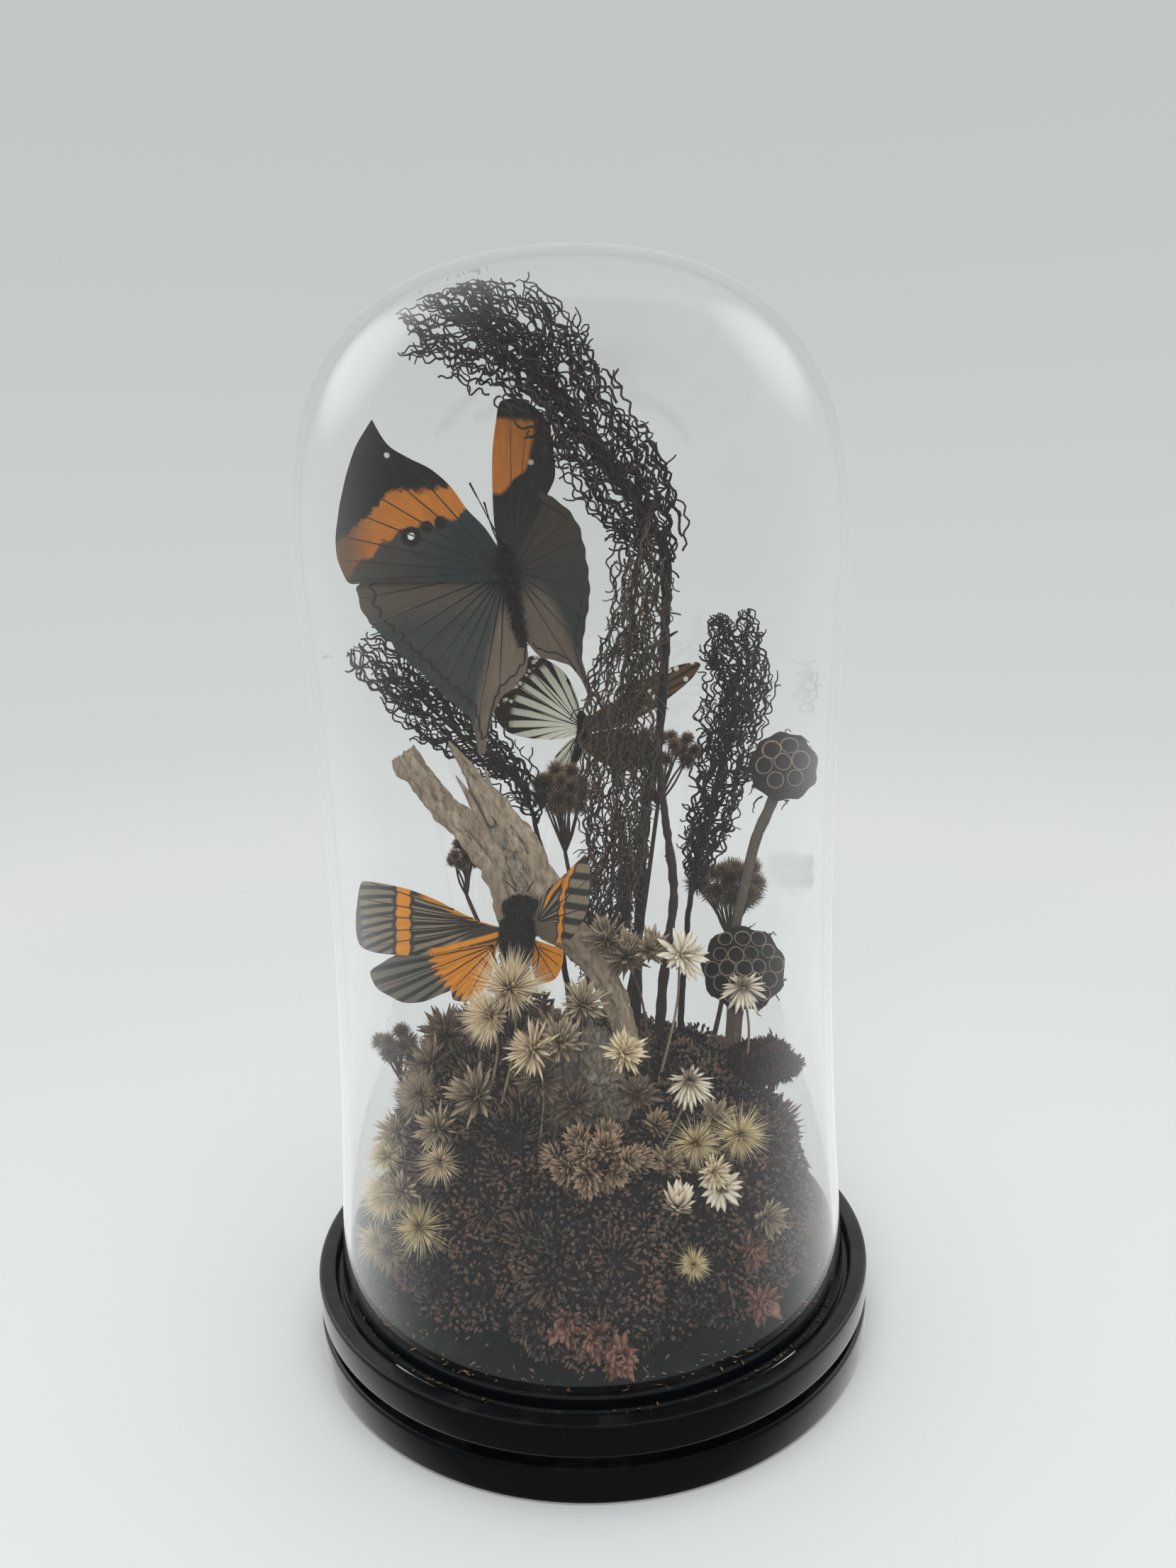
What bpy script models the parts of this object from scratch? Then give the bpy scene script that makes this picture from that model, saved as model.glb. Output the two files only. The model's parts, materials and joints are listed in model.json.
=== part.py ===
"""Three mounted insects and dried flowers on a turned black base, under a glass dome.

Sizes are in millimetres and become metres in place_mesh(). +Z is up, the origin is the middle of
the base's underside, and -Y is the side that the arrangement faces.
"""
import math

import bmesh
import bpy
from mathutils import Matrix, Vector

METRES = 0.001
GAP = 0.3                    # air kept between pieces that touch

# Base: one turned disc with a shadow groove round its side and a trough that the glass stands in.
BASE_RADIUS = 82.5
BASE_HEIGHT = 22.0
LOWER_DISC = 10.0            # height of the disc below the groove
GROOVE_WIDTH = 3.0
GROOVE_RADIUS = 78.5
TROUGH_INNER = 71.5
TROUGH_OUTER = 77.5
TROUGH_DEPTH = 4.0
EDGE = 0.9                   # rounding of the turned edges

# Glass: slightly waisted wall under a full round top.
GLASS_FOOT_RADIUS = 75.9
GLASS_WAIST_RADIUS = 70.8
GLASS_SHOULDER_RADIUS = 73.9
GLASS_TOP = 301.4
GLASS_CAP = 76.8             # height of the round top
GLASS_ROUNDNESS = 2.56       # exponent of its outline: 2 is a circle, more is squarer
GLASS_WALL = 2.2
GLASS_FOOT = BASE_HEIGHT - TROUGH_DEPTH + GAP

WING_THICKNESS = 0.6
LATHE_STEPS = 40
FOOT = None                  # a height that is read off the flower mass below

# Wings: where the wing joins the body, its lean (Y gained per millimetre along X and Z), and its
# outline as (X, Z) from that joint, seen from the front.
WINGS = {
    "leaf_butterfly_forewing_left": ((-17.2, -14.0, 222.8), (0.35, 0.0), [
        (-2.4, 4.0), (-4.9, 10.6), (-8.5, 15.9), (-12.0, 21.4), (-16.8, 26.0), (-22.0, 28.8),
        (-26.7, 32.1), (-29.9, 38.0), (-33.4, 32.6), (-35.9, 26.7), (-38.6, 17.6), (-39.9, 9.9),
        (-39.9, 5.1), (-38.6, 0.5), (-37.2, -1.5), (-31.9, -1.3), (-3.4, -2.2)]),
    "leaf_butterfly_forewing_right": ((-15.6, -10.0, 223.7), (1.3, 0.35), [
        (-0.9, 4.5), (-2.2, 11.2), (-2.6, 20.5), (-2.6, 29.3), (-1.8, 37.2), (-0.5, 43.4),
        (4.5, 44.0), (9.3, 39.5), (10.7, 33.0), (11.2, 26.0), (10.7, 22.0), (2.4, 3.5)]),
    "leaf_butterfly_hindwing_left": ((-17.3, -12.4, 222.8), (0.35, 0.0), [
        (-3.6, -3.1), (-32.1, -1.5), (-36.3, -3.8), (-35.8, -7.6), (-33.7, -12.2), (-30.2, -15.8),
        (-26.5, -20.8), (-22.4, -25.1), (-18.1, -30.3), (-13.9, -34.7), (-10.6, -38.6),
        (-9.3, -48.4), (-8.3, -48.4), (-7.3, -42.0), (-5.1, -34.1), (-1.4, -29.6), (1.0, -24.0),
        (0.4, -18.0), (-1.6, -11.0)]),
    "leaf_butterfly_hindwing_right": ((-15.4, -7.6, 222.5), (1.3, 0.2), [
        (2.6, 1.0), (10.1, 21.0), (14.0, 17.5), (17.0, 11.8), (18.9, 3.1), (19.7, -7.7),
        (17.8, -18.9), (17.2, -26.2), (20.0, -36.4), (19.0, -37.0), (14.9, -27.1), (9.6, -23.4),
        (7.4, -19.3), (5.6, -12.0), (3.6, -5.4)]),
    "cicada_forewing_left": ((-21.4, -31.0, 132.8), (0.0, 0.0), [
        (-0.8, -1.6), (-5.4, 0.5), (-10.3, 3.7), (-17.0, 7.6), (-24.5, 10.3), (-34.3, 12.0),
        (-35.8, 6.6), (-36.6, -0.4), (-35.5, -5.8), (-29.6, -7.9), (-17.9, -8.1), (-2.1, -4.9)]),
    "cicada_forewing_right": ((-10.8, -33.0, 133.3), (-1.1, -0.1), [
        (-0.1, -1.3), (1.0, 1.4), (3.7, 8.9), (7.8, 15.5), (11.0, 19.9), (13.6, 23.1), (14.4, 20.4),
        (14.3, 14.8), (13.2, 7.4), (8.2, -2.2), (3.2, -3.8)]),
    "cicada_hindwing_left": ((-21.8, -29.4, 126.3), (0.0, 0.0), [
        (-1.2, -2.0), (-21.9, -3.0), (-29.6, -4.2), (-33.8, -6.9), (-32.6, -11.2), (-29.3, -14.1),
        (-25.2, -16.0), (-20.0, -15.5), (-15.9, -13.8), (-12.8, -12.6), (-12.3, -15.4),
        (-8.3, -15.7), (-5.1, -12.7), (-2.4, -6.0)]),
    "cicada_hindwing_right": ((-11.6, -31.5, 126.5), (-0.8, 0.0), [
        (1.0, 0.9), (3.8, 1.2), (7.8, 0.9), (7.4, -3.8), (5.4, -8.4), (1.8, -10.8), (0.9, -6.4)]),
    "tiger_butterfly_forewing_left": ((0.3, 28.0, 174.4), (0.0, 0.0), [
        (-2.2, 2.2), (-2.4, 8.5), (-5.9, 17.2), (-12.2, 21.7), (-17.5, 20.7), (-22.6, 16.6),
        (-25.2, 11.9), (-26.5, 6.7), (-25.6, 2.6), (-21.9, -1.4), (-13.9, -3.4), (-6.6, -3.6),
        (-2.4, -1.6)]),
    "tiger_butterfly_forewing_right": ((2.5, 28.0, 174.3), (0.2, 0.0), [
        (1.0, 1.9), (8.8, 8.0), (19.3, 14.6), (27.4, 17.2), (34.0, 18.0), (34.8, 16.9),
        (31.7, 12.7), (24.6, 7.4), (19.1, 3.7), (8.6, -0.7), (1.2, -1.9)]),
    "tiger_butterfly_hindwing_left": ((-0.2, 29.6, 172.4), (0.0, 0.0), [
        (-2.6, -1.2), (-5.1, -3.0), (-7.8, -6.9), (-9.5, -11.5), (-6.5, -12.3), (-4.4, -9.4),
        (-2.6, -4.4)]),
    "tiger_butterfly_hindwing_right": ((2.4, 29.6, 171.9), (0.2, 0.0), [
        (1.3, -0.6), (8.7, 0.8), (14.4, 0.0), (15.6, -4.9), (12.8, -10.1), (6.7, -10.6),
        (1.6, -5.8)]),
}

# Bodies, stems, branches and plumes: stations (X, Y, Z, half width, half depth) along each one.
LIMBS = {
    "leaf_butterfly_body": (8, [
        (-17.5, -14.0, 229.6, 0.6, 0.6), (-17.2, -14.0, 228.4, 1.7, 1.6), (-17.0, -13.9, 226.4, 1.8, 1.7),
        (-16.8, -13.7, 225.4, 1.4, 1.4), (-16.5, -13.4, 223.6, 1.9, 2.3), (-16.0, -12.9, 220.0, 1.7, 2.4),
        (-15.5, -12.5, 217.4, 1.4, 1.7), (-14.8, -12.4, 211.0, 1.5, 1.7), (-13.9, -12.2, 206.0, 1.1, 1.2),
        (-13.4, -12.2, 203.6, 0.4, 0.4)]),
    "cicada_body": (10, [
        (-14.4, -31.6, 141.6, 2.2, 1.2), (-14.7, -31.4, 140.2, 4.2, 2.6), (-15.0, -31.2, 137.0, 5.0, 3.6),
        (-15.8, -31.0, 133.0, 4.8, 3.9), (-16.4, -31.0, 128.6, 4.6, 3.8), (-16.9, -30.9, 124.0, 4.0, 3.4),
        (-17.3, -30.6, 118.0, 3.2, 2.8), (-17.6, -30.4, 113.6, 1.0, 1.0)]),
    "tiger_butterfly_body": (8, [
        (0.2, 28.0, 179.0, 0.5, 0.5), (0.4, 28.0, 177.6, 1.5, 1.5), (0.6, 28.0, 175.8, 1.2, 1.2),
        (0.9, 28.1, 173.0, 1.8, 1.9), (0.2, 28.2, 169.6, 1.1, 1.3), (-1.2, 28.3, 166.0, 1.2, 1.3),
        (-3.0, 28.4, 161.8, 0.4, 0.4)]),
    "driftwood_trunk": (10, [
        (-16.6, -9.0, 132.6, 5.2, 3.0), (-14.4, -9.2, 128.0, 7.2, 4.2), (-10.6, -9.6, 121.6, 6.6, 4.4),
        (-4.6, -10.4, 112.6, 5.0, 4.2), (1.4, -11.2, 103.4, 4.2, 3.8), (3.8, -11.6, 98.6, 3.8, 3.4)]),
    "driftwood_left_fork": (9, [
        (-47.3, -3.8, 174.2, 2.0, 1.6), (-46.2, -4.0, 172.8, 3.6, 2.9), (-43.4, -4.4, 169.6, 3.8, 3.2),
        (-39.6, -5.0, 164.0, 3.5, 3.0), (-34.6, -5.9, 156.0, 3.7, 3.1), (-29.4, -6.9, 147.4, 4.0, 3.3),
        (-25.4, -7.8, 139.6, 3.6, 3.2), (-23.6, -8.2, 134.8, 3.0, 2.8)]),
    "driftwood_right_fork": (8, [
        (-36.4, 2.2, 174.4, 0.6, 0.8), (-34.0, 1.4, 171.0, 1.5, 1.6), (-29.8, 0.0, 162.4, 3.0, 2.4),
        (-25.2, -1.6, 154.0, 4.2, 3.0), (-20.0, -3.6, 145.0, 4.8, 3.4), (-15.6, -5.4, 137.4, 4.6, 3.2),
        (-14.2, -6.2, 134.8, 3.6, 2.6)]),
    "bark_stump": (8, [
        (-1.0, -12.4, 22.4, 15.0, 10.0), (-1.0, -12.4, 40.0, 14.0, 10.0), (-1.0, -12.8, 62.0, 14.0, 10.6),
        (-1.6, -13.0, 78.0, 14.4, 10.4), (-1.0, -13.0, 89.0, 13.0, 9.0), (-0.4, -12.8, 93.4, 9.0, 6.0)]),
    "tall_plume_stem": (8, [
        (25.5, 3.0, 221.6, 0.9, 0.9), (25.4, 3.2, 214.4, 1.3, 1.3), (24.9, 4.0, 198.7, 1.6, 1.6),
        (23.0, 4.6, 174.5, 1.6, 1.6), (19.2, 4.8, 155.1, 1.6, 1.6), (17.0, 4.8, 129.0, 1.6, 1.6),
        (15.4, 5.0, 104.0, 1.6, 1.6), (14.0, 5.2, FOOT, 1.6, 1.6)]),
    "second_plume_stem": (8, [
        (22.8, 9.4, 171.0, 0.8, 0.8), (24.2, 9.6, 154.1, 1.5, 1.5), (26.9, 9.8, 127.5, 1.6, 1.6),
        (24.0, 10.0, 104.0, 1.6, 1.6), (20.4, 10.2, FOOT, 1.6, 1.6)]),
    "tall_plume_arch": (10, [
        (25.6, 1.4, 224.0, 2.4, 2.0), (24.6, 0.0, 230.0, 6.4, 4.4), (19.6, -3.2, 240.4, 9.0, 5.0),
        (13.4, -5.6, 250.2, 10.2, 5.4), (6.0, -9.0, 261.0, 10.8, 5.6), (-2.0, -11.0, 270.2, 12.0, 5.6),
        (-13.0, -9.6, 278.8, 12.0, 6.0), (-24.0, -7.2, 283.6, 9.6, 6.0), (-32.4, -6.0, 285.6, 5.8, 4.6),
        (-39.0, -5.6, 286.4, 2.0, 1.8)]),
    "tall_plume_veil": (8, [
        (17.8, -4.8, 227.2, 4.2, 2.6), (16.4, -5.8, 214.0, 8.2, 4.2), (14.6, -6.6, 196.0, 8.6, 4.4),
        (12.2, -6.8, 180.0, 8.8, 4.4), (10.2, -6.8, 162.0, 8.0, 4.4), (9.4, -6.4, 142.0, 7.0, 4.0),
        (7.4, -6.0, 126.0, 4.4, 3.0), (5.6, -5.6, 115.0, 1.0, 0.8)]),
    "left_plume": (8, [
        (-61.4, 9.6, 207.4, 2.6, 2.0), (-57.0, 10.2, 198.0, 6.4, 3.6), (-46.6, 11.2, 185.6, 7.4, 4.0),
        (-34.6, 12.2, 176.2, 7.2, 4.0), (-22.6, 12.6, 168.8, 6.4, 3.6), (-17.0, 12.8, 162.0, 3.0, 2.6),
        (-12.4, 12.8, 146.0, 1.0, 1.0), (-7.0, 12.6, 118.0, 1.0, 1.0), (-3.4, 12.4, FOOT, 1.0, 1.0)]),
    "right_plume": (8, [
        (47.4, 27.6, 206.4, 3.0, 2.4), (48.0, 27.6, 201.4, 6.2, 4.0), (48.6, 27.6, 189.0, 8.6, 4.6),
        (46.2, 27.6, 174.0, 9.2, 4.6), (42.0, 26.0, 157.0, 7.2, 4.2), (38.0, 21.6, 142.0, 4.8, 3.6),
        (33.4, 16.6, 126.0, 1.8, 1.6), (31.0, 15.8, 106.0, 1.2, 1.2), (28.6, 15.4, FOOT, 1.2, 1.2)]),
    "lotus_pod_upper": (10, [
        (57.4, -5.8, 176.8, 5.0, 4.6), (57.4, -5.8, 174.6, 8.0, 7.4), (57.2, -5.8, 168.6, 9.9, 9.4),
        (56.6, -5.8, 161.0, 9.8, 9.2), (54.6, -5.0, 154.4, 5.4, 5.0), (50.6, -3.0, 150.2, 1.5, 1.5),
        (47.6, 2.6, 140.0, 1.4, 1.4), (46.2, 8.6, 128.0, 1.4, 1.4), (45.2, 12.4, 117.0, 1.4, 1.4),
        (44.0, 13.4, 102.0, 1.4, 1.4), (43.0, 13.0, FOOT, 1.4, 1.4)]),
    "lotus_pod_lower": (10, [
        (45.4, 0.0, 117.4, 6.0, 5.0), (46.0, 0.0, 115.2, 10.6, 8.4), (46.8, 0.0, 109.0, 13.0, 10.6),
        (46.8, 0.0, 102.0, 12.4, 10.6), (46.0, 0.6, 95.0, 7.4, 7.0), (45.0, 1.2, 90.0, 2.0, 2.0),
        (43.6, 1.6, FOOT, 1.6, 1.6)]),
    "tuft_centre": (8, [
        (-5.6, 21.6, 162.4, 3.0, 3.0), (-5.8, 21.6, 160.0, 6.6, 5.6), (-6.0, 21.6, 154.6, 7.6, 6.2),
        (-4.4, 21.2, 149.4, 4.4, 4.0), (-2.6, 20.8, 145.0, 0.8, 0.8), (1.0, 20.0, 116.0, 0.8, 0.8),
        (2.0, 19.4, FOOT, 0.8, 0.8)]),
    "tuft_centre_right": (8, [
        (25.4, 17.4, 174.4, 10.0, 3.4), (24.8, 17.4, 171.6, 13.2, 4.8), (24.4, 17.4, 167.2, 12.2, 4.6),
        (20.8, 17.6, 162.6, 3.6, 2.6), (18.4, 18.0, 156.0, 0.8, 0.8), (13.0, 18.6, 116.0, 0.8, 0.8),
        (9.0, 19.0, FOOT, 0.8, 0.8)]),
    "tuft_left": (8, [
        (-35.8, 12.6, 143.0, 1.6, 1.6), (-36.0, 12.6, 141.0, 3.6, 3.4), (-35.4, 12.6, 136.6, 3.8, 3.6),
        (-33.4, 12.4, 133.6, 0.9, 0.9), (-27.0, 12.0, 112.0, 0.8, 0.8), (-22.4, 11.6, FOOT, 0.8, 0.8)]),
    "tuft_back_right": (8, [
        (47.0, 31.6, 129.4, 6.0, 4.0), (47.0, 31.6, 126.6, 12.4, 7.0), (46.0, 31.4, 120.6, 12.8, 7.4),
        (43.6, 31.0, 115.4, 5.0, 4.0), (42.0, 30.6, 111.0, 1.0, 1.0), (38.6, 26.0, FOOT, 1.0, 1.0)]),
    "tuft_left_low": (8, [
        (-54.4, -12.6, 94.6, 2.0, 2.0), (-54.0, -12.6, 92.8, 5.8, 4.6), (-53.4, -12.6, 88.4, 6.4, 5.0),
        (-51.8, -12.8, 84.8, 2.0, 2.0), (-49.0, -13.0, FOOT, 0.8, 0.8)]),
}

# Flower masses: centre, half sizes, and the planes (point, outward normal) that neighbours and
# the base's platform cut them off at.
PLATFORM = BASE_HEIGHT + GAP
STUMP_SIDE = 16.2
STUMP_FRONT = -24.0
STUMP_BACK = -1.4
MASS_ROUNDNESS = 2.6         # exponent of a mass's outline: 2 is an egg, more is squarer
MASSES = {
    "flower_mass_left": ((-14.0, 0.0, 34.0), (44.0, 46.0, 57.0),
                         [((-STUMP_SIDE, 0.0, 0.0), (1.0, 0.0, 0.0))]),
    "flower_mass_front": ((0.0, -14.0, 34.0), (40.0, 46.0, 36.0),
                          [((-STUMP_SIDE + 2.0 * GAP, 0.0, 0.0), (-1.0, 0.0, 0.0)),
                           ((STUMP_SIDE, 0.0, 0.0), (1.0, 0.0, 0.0)),
                           ((0.0, STUMP_FRONT, 0.0), (0.0, 1.0, 0.0))]),
    "flower_mass_right": ((14.0, 0.0, 34.0), (47.0, 48.0, 46.0),
                          [((STUMP_SIDE + 2.0 * GAP, 0.0, 0.0), (-1.0, 0.0, 0.0))]),
    "flower_mass_back": ((0.0, 14.0, 34.0), (40.0, 46.0, 44.0),
                         [((-STUMP_SIDE + 2.0 * GAP, 0.0, 0.0), (-1.0, 0.0, 0.0)),
                          ((STUMP_SIDE, 0.0, 0.0), (1.0, 0.0, 0.0)),
                          ((0.0, STUMP_BACK, 0.0), (0.0, -1.0, 0.0))]),
}

# Heads on thin stalks: centre, half sizes, and where (X, Y) the stalk meets the flower mass.
STALKED = {
    "thistle_1": ((-17.4, -44.0, 122.2), (7.6, 7.0, 7.6), (-26.0, -24.0)),
    "thistle_2": ((-24.3, -47.0, 113.1), (3.6, 4.0, 3.6), (-30.0, -26.0)),
    "thistle_3": ((-13.8, -42.0, 102.0), (7.4, 6.5, 5.9), (-12.0, -34.0)),
    "thistle_4": ((0.9, -34.0, 112.7), (6.7, 6.0, 6.4), (0.0, -30.0)),
    "thistle_5": ((11.8, -38.0, 98.9), (5.2, 5.0, 5.0), (12.0, -32.0)),
    "seed_cluster": ((12.1, -16.0, 120.7), (7.9, 6.0, 6.7), (18.5, -14.0)),
    "straw_flower_1": ((27.3, -24.0, 120.3), (6.5, 6.0, 6.5), (26.0, -20.0)),
    "straw_flower_2": ((43.8, -22.0, 108.3), (6.2, 5.5, 6.2), (41.0, -20.0)),
    "straw_flower_3": ((27.6, -42.0, 91.1), (6.1, 5.5, 5.7), (14.0, -38.0)),
}

# Heads that sit straight on the flower masses: centre and half sizes.
SEATED = {
    "cockscomb": ((52.8, -5.6, 79.0), (10.7, 8.0, 7.4)),
    "bud_cluster": ((3.4, -46.2, 74.0), (13.6, 9.0, 8.4)),
    "bud_right": ((19.8, -34.5, 77.8), (4.2, 5.0, 4.6)),
    "star_1": ((29.3, -40.0, 75.2), (6.3, 6.0, 6.1)),
    "star_2": ((40.6, -45.0, 78.7), (5.9, 6.0, 6.1)),
    "star_3": ((27.5, -52.4, 47.6), (4.6, 5.0, 4.6)),
    "star_left_1": ((-43.8, -44.4, 54.0), (6.8, 4.4, 6.8)),
    "star_left_2": ((-60.6, -25.5, 37.5), (4.4, 4.2, 6.6)),
    "star_left_3": ((-55.4, -27.4, 65.1), (5.2, 4.4, 5.6)),
    "cup_flower": ((24.0, -48.4, 63.2), (5.5, 5.5, 5.5)),
    "daisy": ((34.9, -46.2, 66.4), (4.8, 5.0, 4.8)),
    "rosy_front": ((8.5, -65.8, 28.4), (7.4, 4.2, 5.2)),
    "rosy_right": ((46.6, -46.8, 30.2), (5.0, 4.0, 4.8)),
}

# Finishes: colour, roughness and how much light passes, for nodes whose name starts so.
FINISHES = [
    ("base", (0.010, 0.010, 0.011), 0.30, 0.0),
    ("glass_dome", (0.98, 1.00, 0.99), 0.0, 1.0),
    ("leaf_butterfly", (0.10, 0.09, 0.08), 0.6, 0.0),
    ("cicada", (0.16, 0.10, 0.05), 0.6, 0.0),
    ("tiger_butterfly", (0.75, 0.73, 0.62), 0.6, 0.0),
    ("driftwood", (0.36, 0.29, 0.22), 0.8, 0.0),
    ("bark_stump", (0.26, 0.23, 0.20), 0.9, 0.0),
    ("lotus", (0.07, 0.05, 0.04), 0.8, 0.0),
    ("tuft", (0.14, 0.09, 0.06), 0.9, 0.0),
    ("flower_mass", (0.07, 0.045, 0.045), 0.9, 0.0),
    ("thistle", (0.60, 0.52, 0.36), 0.8, 0.0),
    ("seed_cluster", (0.20, 0.14, 0.10), 0.8, 0.0),
    ("straw_flower", (0.66, 0.56, 0.44), 0.7, 0.0),
    ("cup_flower", (0.62, 0.50, 0.40), 0.7, 0.0),
    ("daisy", (0.66, 0.56, 0.44), 0.7, 0.0),
    ("star", (0.66, 0.58, 0.32), 0.8, 0.0),
    ("bud", (0.24, 0.15, 0.10), 0.8, 0.0),
    ("cockscomb", (0.09, 0.02, 0.02), 0.8, 0.0),
    ("rosy", (0.34, 0.13, 0.10), 0.8, 0.0),
    ("", (0.05, 0.035, 0.03), 0.8, 0.0),
]


def finish(name):
    """A material of its own for the node called name."""
    colour, roughness, passing = next(row[1:] for row in FINISHES if name.startswith(row[0]))
    material = bpy.data.materials.new(name + "_finish")
    material.use_nodes = True
    shader = material.node_tree.nodes["Principled BSDF"]
    shader.inputs["Base Color"].default_value = (*colour, 1.0)
    shader.inputs["Roughness"].default_value = roughness
    shader.inputs["Metallic"].default_value = 0.0
    shader.inputs["Transmission Weight"].default_value = passing
    return material


def place_mesh(name, mesh, origin=(0.0, 0.0, 0.0), smooth=True):
    """Turn a bmesh drawn in millimetres round origin into the object called name."""
    bmesh.ops.recalc_face_normals(mesh, faces=mesh.faces)
    bmesh.ops.scale(mesh, vec=(METRES,) * 3, verts=mesh.verts)
    data = bpy.data.meshes.new(name)
    mesh.to_mesh(data)
    mesh.free()
    if smooth:
        data.shade_smooth()
        data.set_sharp_from_angle(angle=math.radians(40.0))
    data.materials.append(finish(name))
    thing = bpy.data.objects.new(name, data)
    thing.location = Vector(origin) * METRES
    thing.parent = bpy.data.objects["arrangement"]
    bpy.context.collection.objects.link(thing)
    return thing


def turned(name, profile):
    """Spin a closed (radius, height) profile round Z."""
    mesh = bmesh.new()
    points = [mesh.verts.new((radius, 0.0, height)) for radius, height in profile]
    edges = [mesh.edges.new((a, b)) for a, b in zip(points, points[1:] + points[:1])]
    bmesh.ops.spin(mesh, geom=points + edges, cent=(0.0, 0.0, 0.0), axis=(0.0, 0.0, 1.0),
                   angle=math.tau, steps=LATHE_STEPS, use_merge=True)
    bmesh.ops.remove_doubles(mesh, verts=mesh.verts, dist=0.001)
    wires = [edge for edge in mesh.edges if not edge.link_faces]
    bmesh.ops.delete(mesh, geom=wires, context="EDGES")
    return place_mesh(name, mesh)


def base_profile():
    """Outline of the base, from the middle of its underside round to the middle of its top."""
    groove_top = LOWER_DISC + GROOVE_WIDTH
    trough = BASE_HEIGHT - TROUGH_DEPTH
    return [
        (0.0, 0.0), (BASE_RADIUS - EDGE, 0.0), (BASE_RADIUS, EDGE),
        (BASE_RADIUS, LOWER_DISC - EDGE), (BASE_RADIUS - EDGE, LOWER_DISC),
        (GROOVE_RADIUS, LOWER_DISC), (GROOVE_RADIUS, groove_top),
        (BASE_RADIUS - EDGE, groove_top), (BASE_RADIUS, groove_top + EDGE),
        (BASE_RADIUS, BASE_HEIGHT - EDGE), (BASE_RADIUS - EDGE, BASE_HEIGHT),
        (TROUGH_OUTER, BASE_HEIGHT), (TROUGH_OUTER, trough), (TROUGH_INNER, trough),
        (TROUGH_INNER, BASE_HEIGHT), (0.0, BASE_HEIGHT),
    ]


def glass_outline(inset, wall_rings=5, cap_rings=7):
    """Radius and height up one side of the glass, inset from its outside; the last is on the axis."""
    shoulder = GLASS_TOP - GLASS_CAP
    outline = []
    for step in range(wall_rings):
        along = step / wall_rings
        radius = (GLASS_FOOT_RADIUS * (1.0 - along) * (1.0 - 2.0 * along)
                  + GLASS_WAIST_RADIUS * 4.0 * along * (1.0 - along)
                  + GLASS_SHOULDER_RADIUS * along * (2.0 * along - 1.0))
        outline.append((radius - inset, GLASS_FOOT + along * (shoulder - GLASS_FOOT)))
    for step in range(cap_rings + 1):
        turn = 0.5 * math.pi * step / cap_rings
        across = max(math.cos(turn), 0.0) ** (2.0 / GLASS_ROUNDNESS)
        up = math.sin(turn) ** (2.0 / GLASS_ROUNDNESS)
        outline.append(((GLASS_SHOULDER_RADIUS - inset) * across, shoulder + (GLASS_CAP - inset) * up))
    outline[-1] = (0.0, outline[-1][1])
    return outline


def wing(name, joint, lean, outline):
    """A thin plate with the given outline, leaning out of the XZ plane."""
    mesh = bmesh.new()
    rim = [mesh.verts.new((x, lean[0] * x + lean[1] * z, z)) for x, z in outline]
    plate = mesh.faces.new(rim)
    grown = bmesh.ops.extrude_face_region(mesh, geom=[plate])
    back = [item for item in grown["geom"] if isinstance(item, bmesh.types.BMVert)]
    bmesh.ops.translate(mesh, verts=back, vec=(0.0, WING_THICKNESS, 0.0))
    bmesh.ops.triangulate(mesh, faces=[face for face in mesh.faces if len(face.verts) > 4])
    return place_mesh(name, mesh, joint, smooth=False)


def mass_top(x, y):
    """Height of the flower mass below the place (x, y)."""
    for centre, half, cuts in MASSES.values():
        kept = all((x - point[0]) * normal[0] + (y - point[1]) * normal[1] <= 0.0
                   for point, normal in cuts)
        spare = (1.0 - abs((x - centre[0]) / half[0]) ** MASS_ROUNDNESS
                 - abs((y - centre[1]) / half[1]) ** MASS_ROUNDNESS)
        if kept and spare > 0.0:
            return centre[2] + half[2] * spare ** (1.0 / MASS_ROUNDNESS)
    raise ValueError("no flower mass under a stalk")


def ring_of(mesh, place, heading, width, depth, sides):
    """A loop of points round place, square to heading."""
    back = (Vector((0.0, 1.0, 0.0)) - heading * heading.y).normalized()
    side = back.cross(heading).normalized()
    turns = [math.tau * (corner + 0.5) / sides for corner in range(sides)]
    return [mesh.verts.new(place + side * (width * math.cos(turn)) + back * (depth * math.sin(turn)))
            for turn in turns]


def limb(name, sides, stations):
    """A closed tube through the stations (x, y, z, half width, half depth)."""
    stations = [(x, y, mass_top(x, y) + GAP + width if z is FOOT else z, width, depth)
                for x, y, z, width, depth in stations]
    places = [Vector(station[:3]) for station in stations]
    mesh = bmesh.new()
    loops = []
    for index, station in enumerate(stations):
        before = places[max(index - 1, 0)]
        after = places[min(index + 1, len(places) - 1)]
        loops.append(ring_of(mesh, places[index], (after - before).normalized(), *station[3:], sides))
    for lower, upper in zip(loops, loops[1:]):
        for a, b, c, d in zip(lower, lower[1:] + lower[:1], upper[1:] + upper[:1], upper):
            mesh.faces.new((a, b, c, d))
    mesh.faces.new(loops[0])
    mesh.faces.new(loops[-1])
    return place_mesh(name, mesh)


def stalked_head(name, centre, half, foot, sides=7):
    """A rounded head on a thin stalk that stands on the flower mass."""
    bulge = [(0.94, 0.36), (0.44, 0.90), (-0.30, 0.96), (-0.86, 0.46)]
    stations = [(centre[0], centre[1], centre[2] + half[2] * up, half[0] * wide, half[1] * wide)
                for up, wide in bulge]
    stations.append((centre[0], centre[1], centre[2] - half[2] - 1.0, 0.6, 0.6))
    stations.append((*foot, FOOT, 0.6, 0.6))
    return limb(name, sides, stations)


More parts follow.
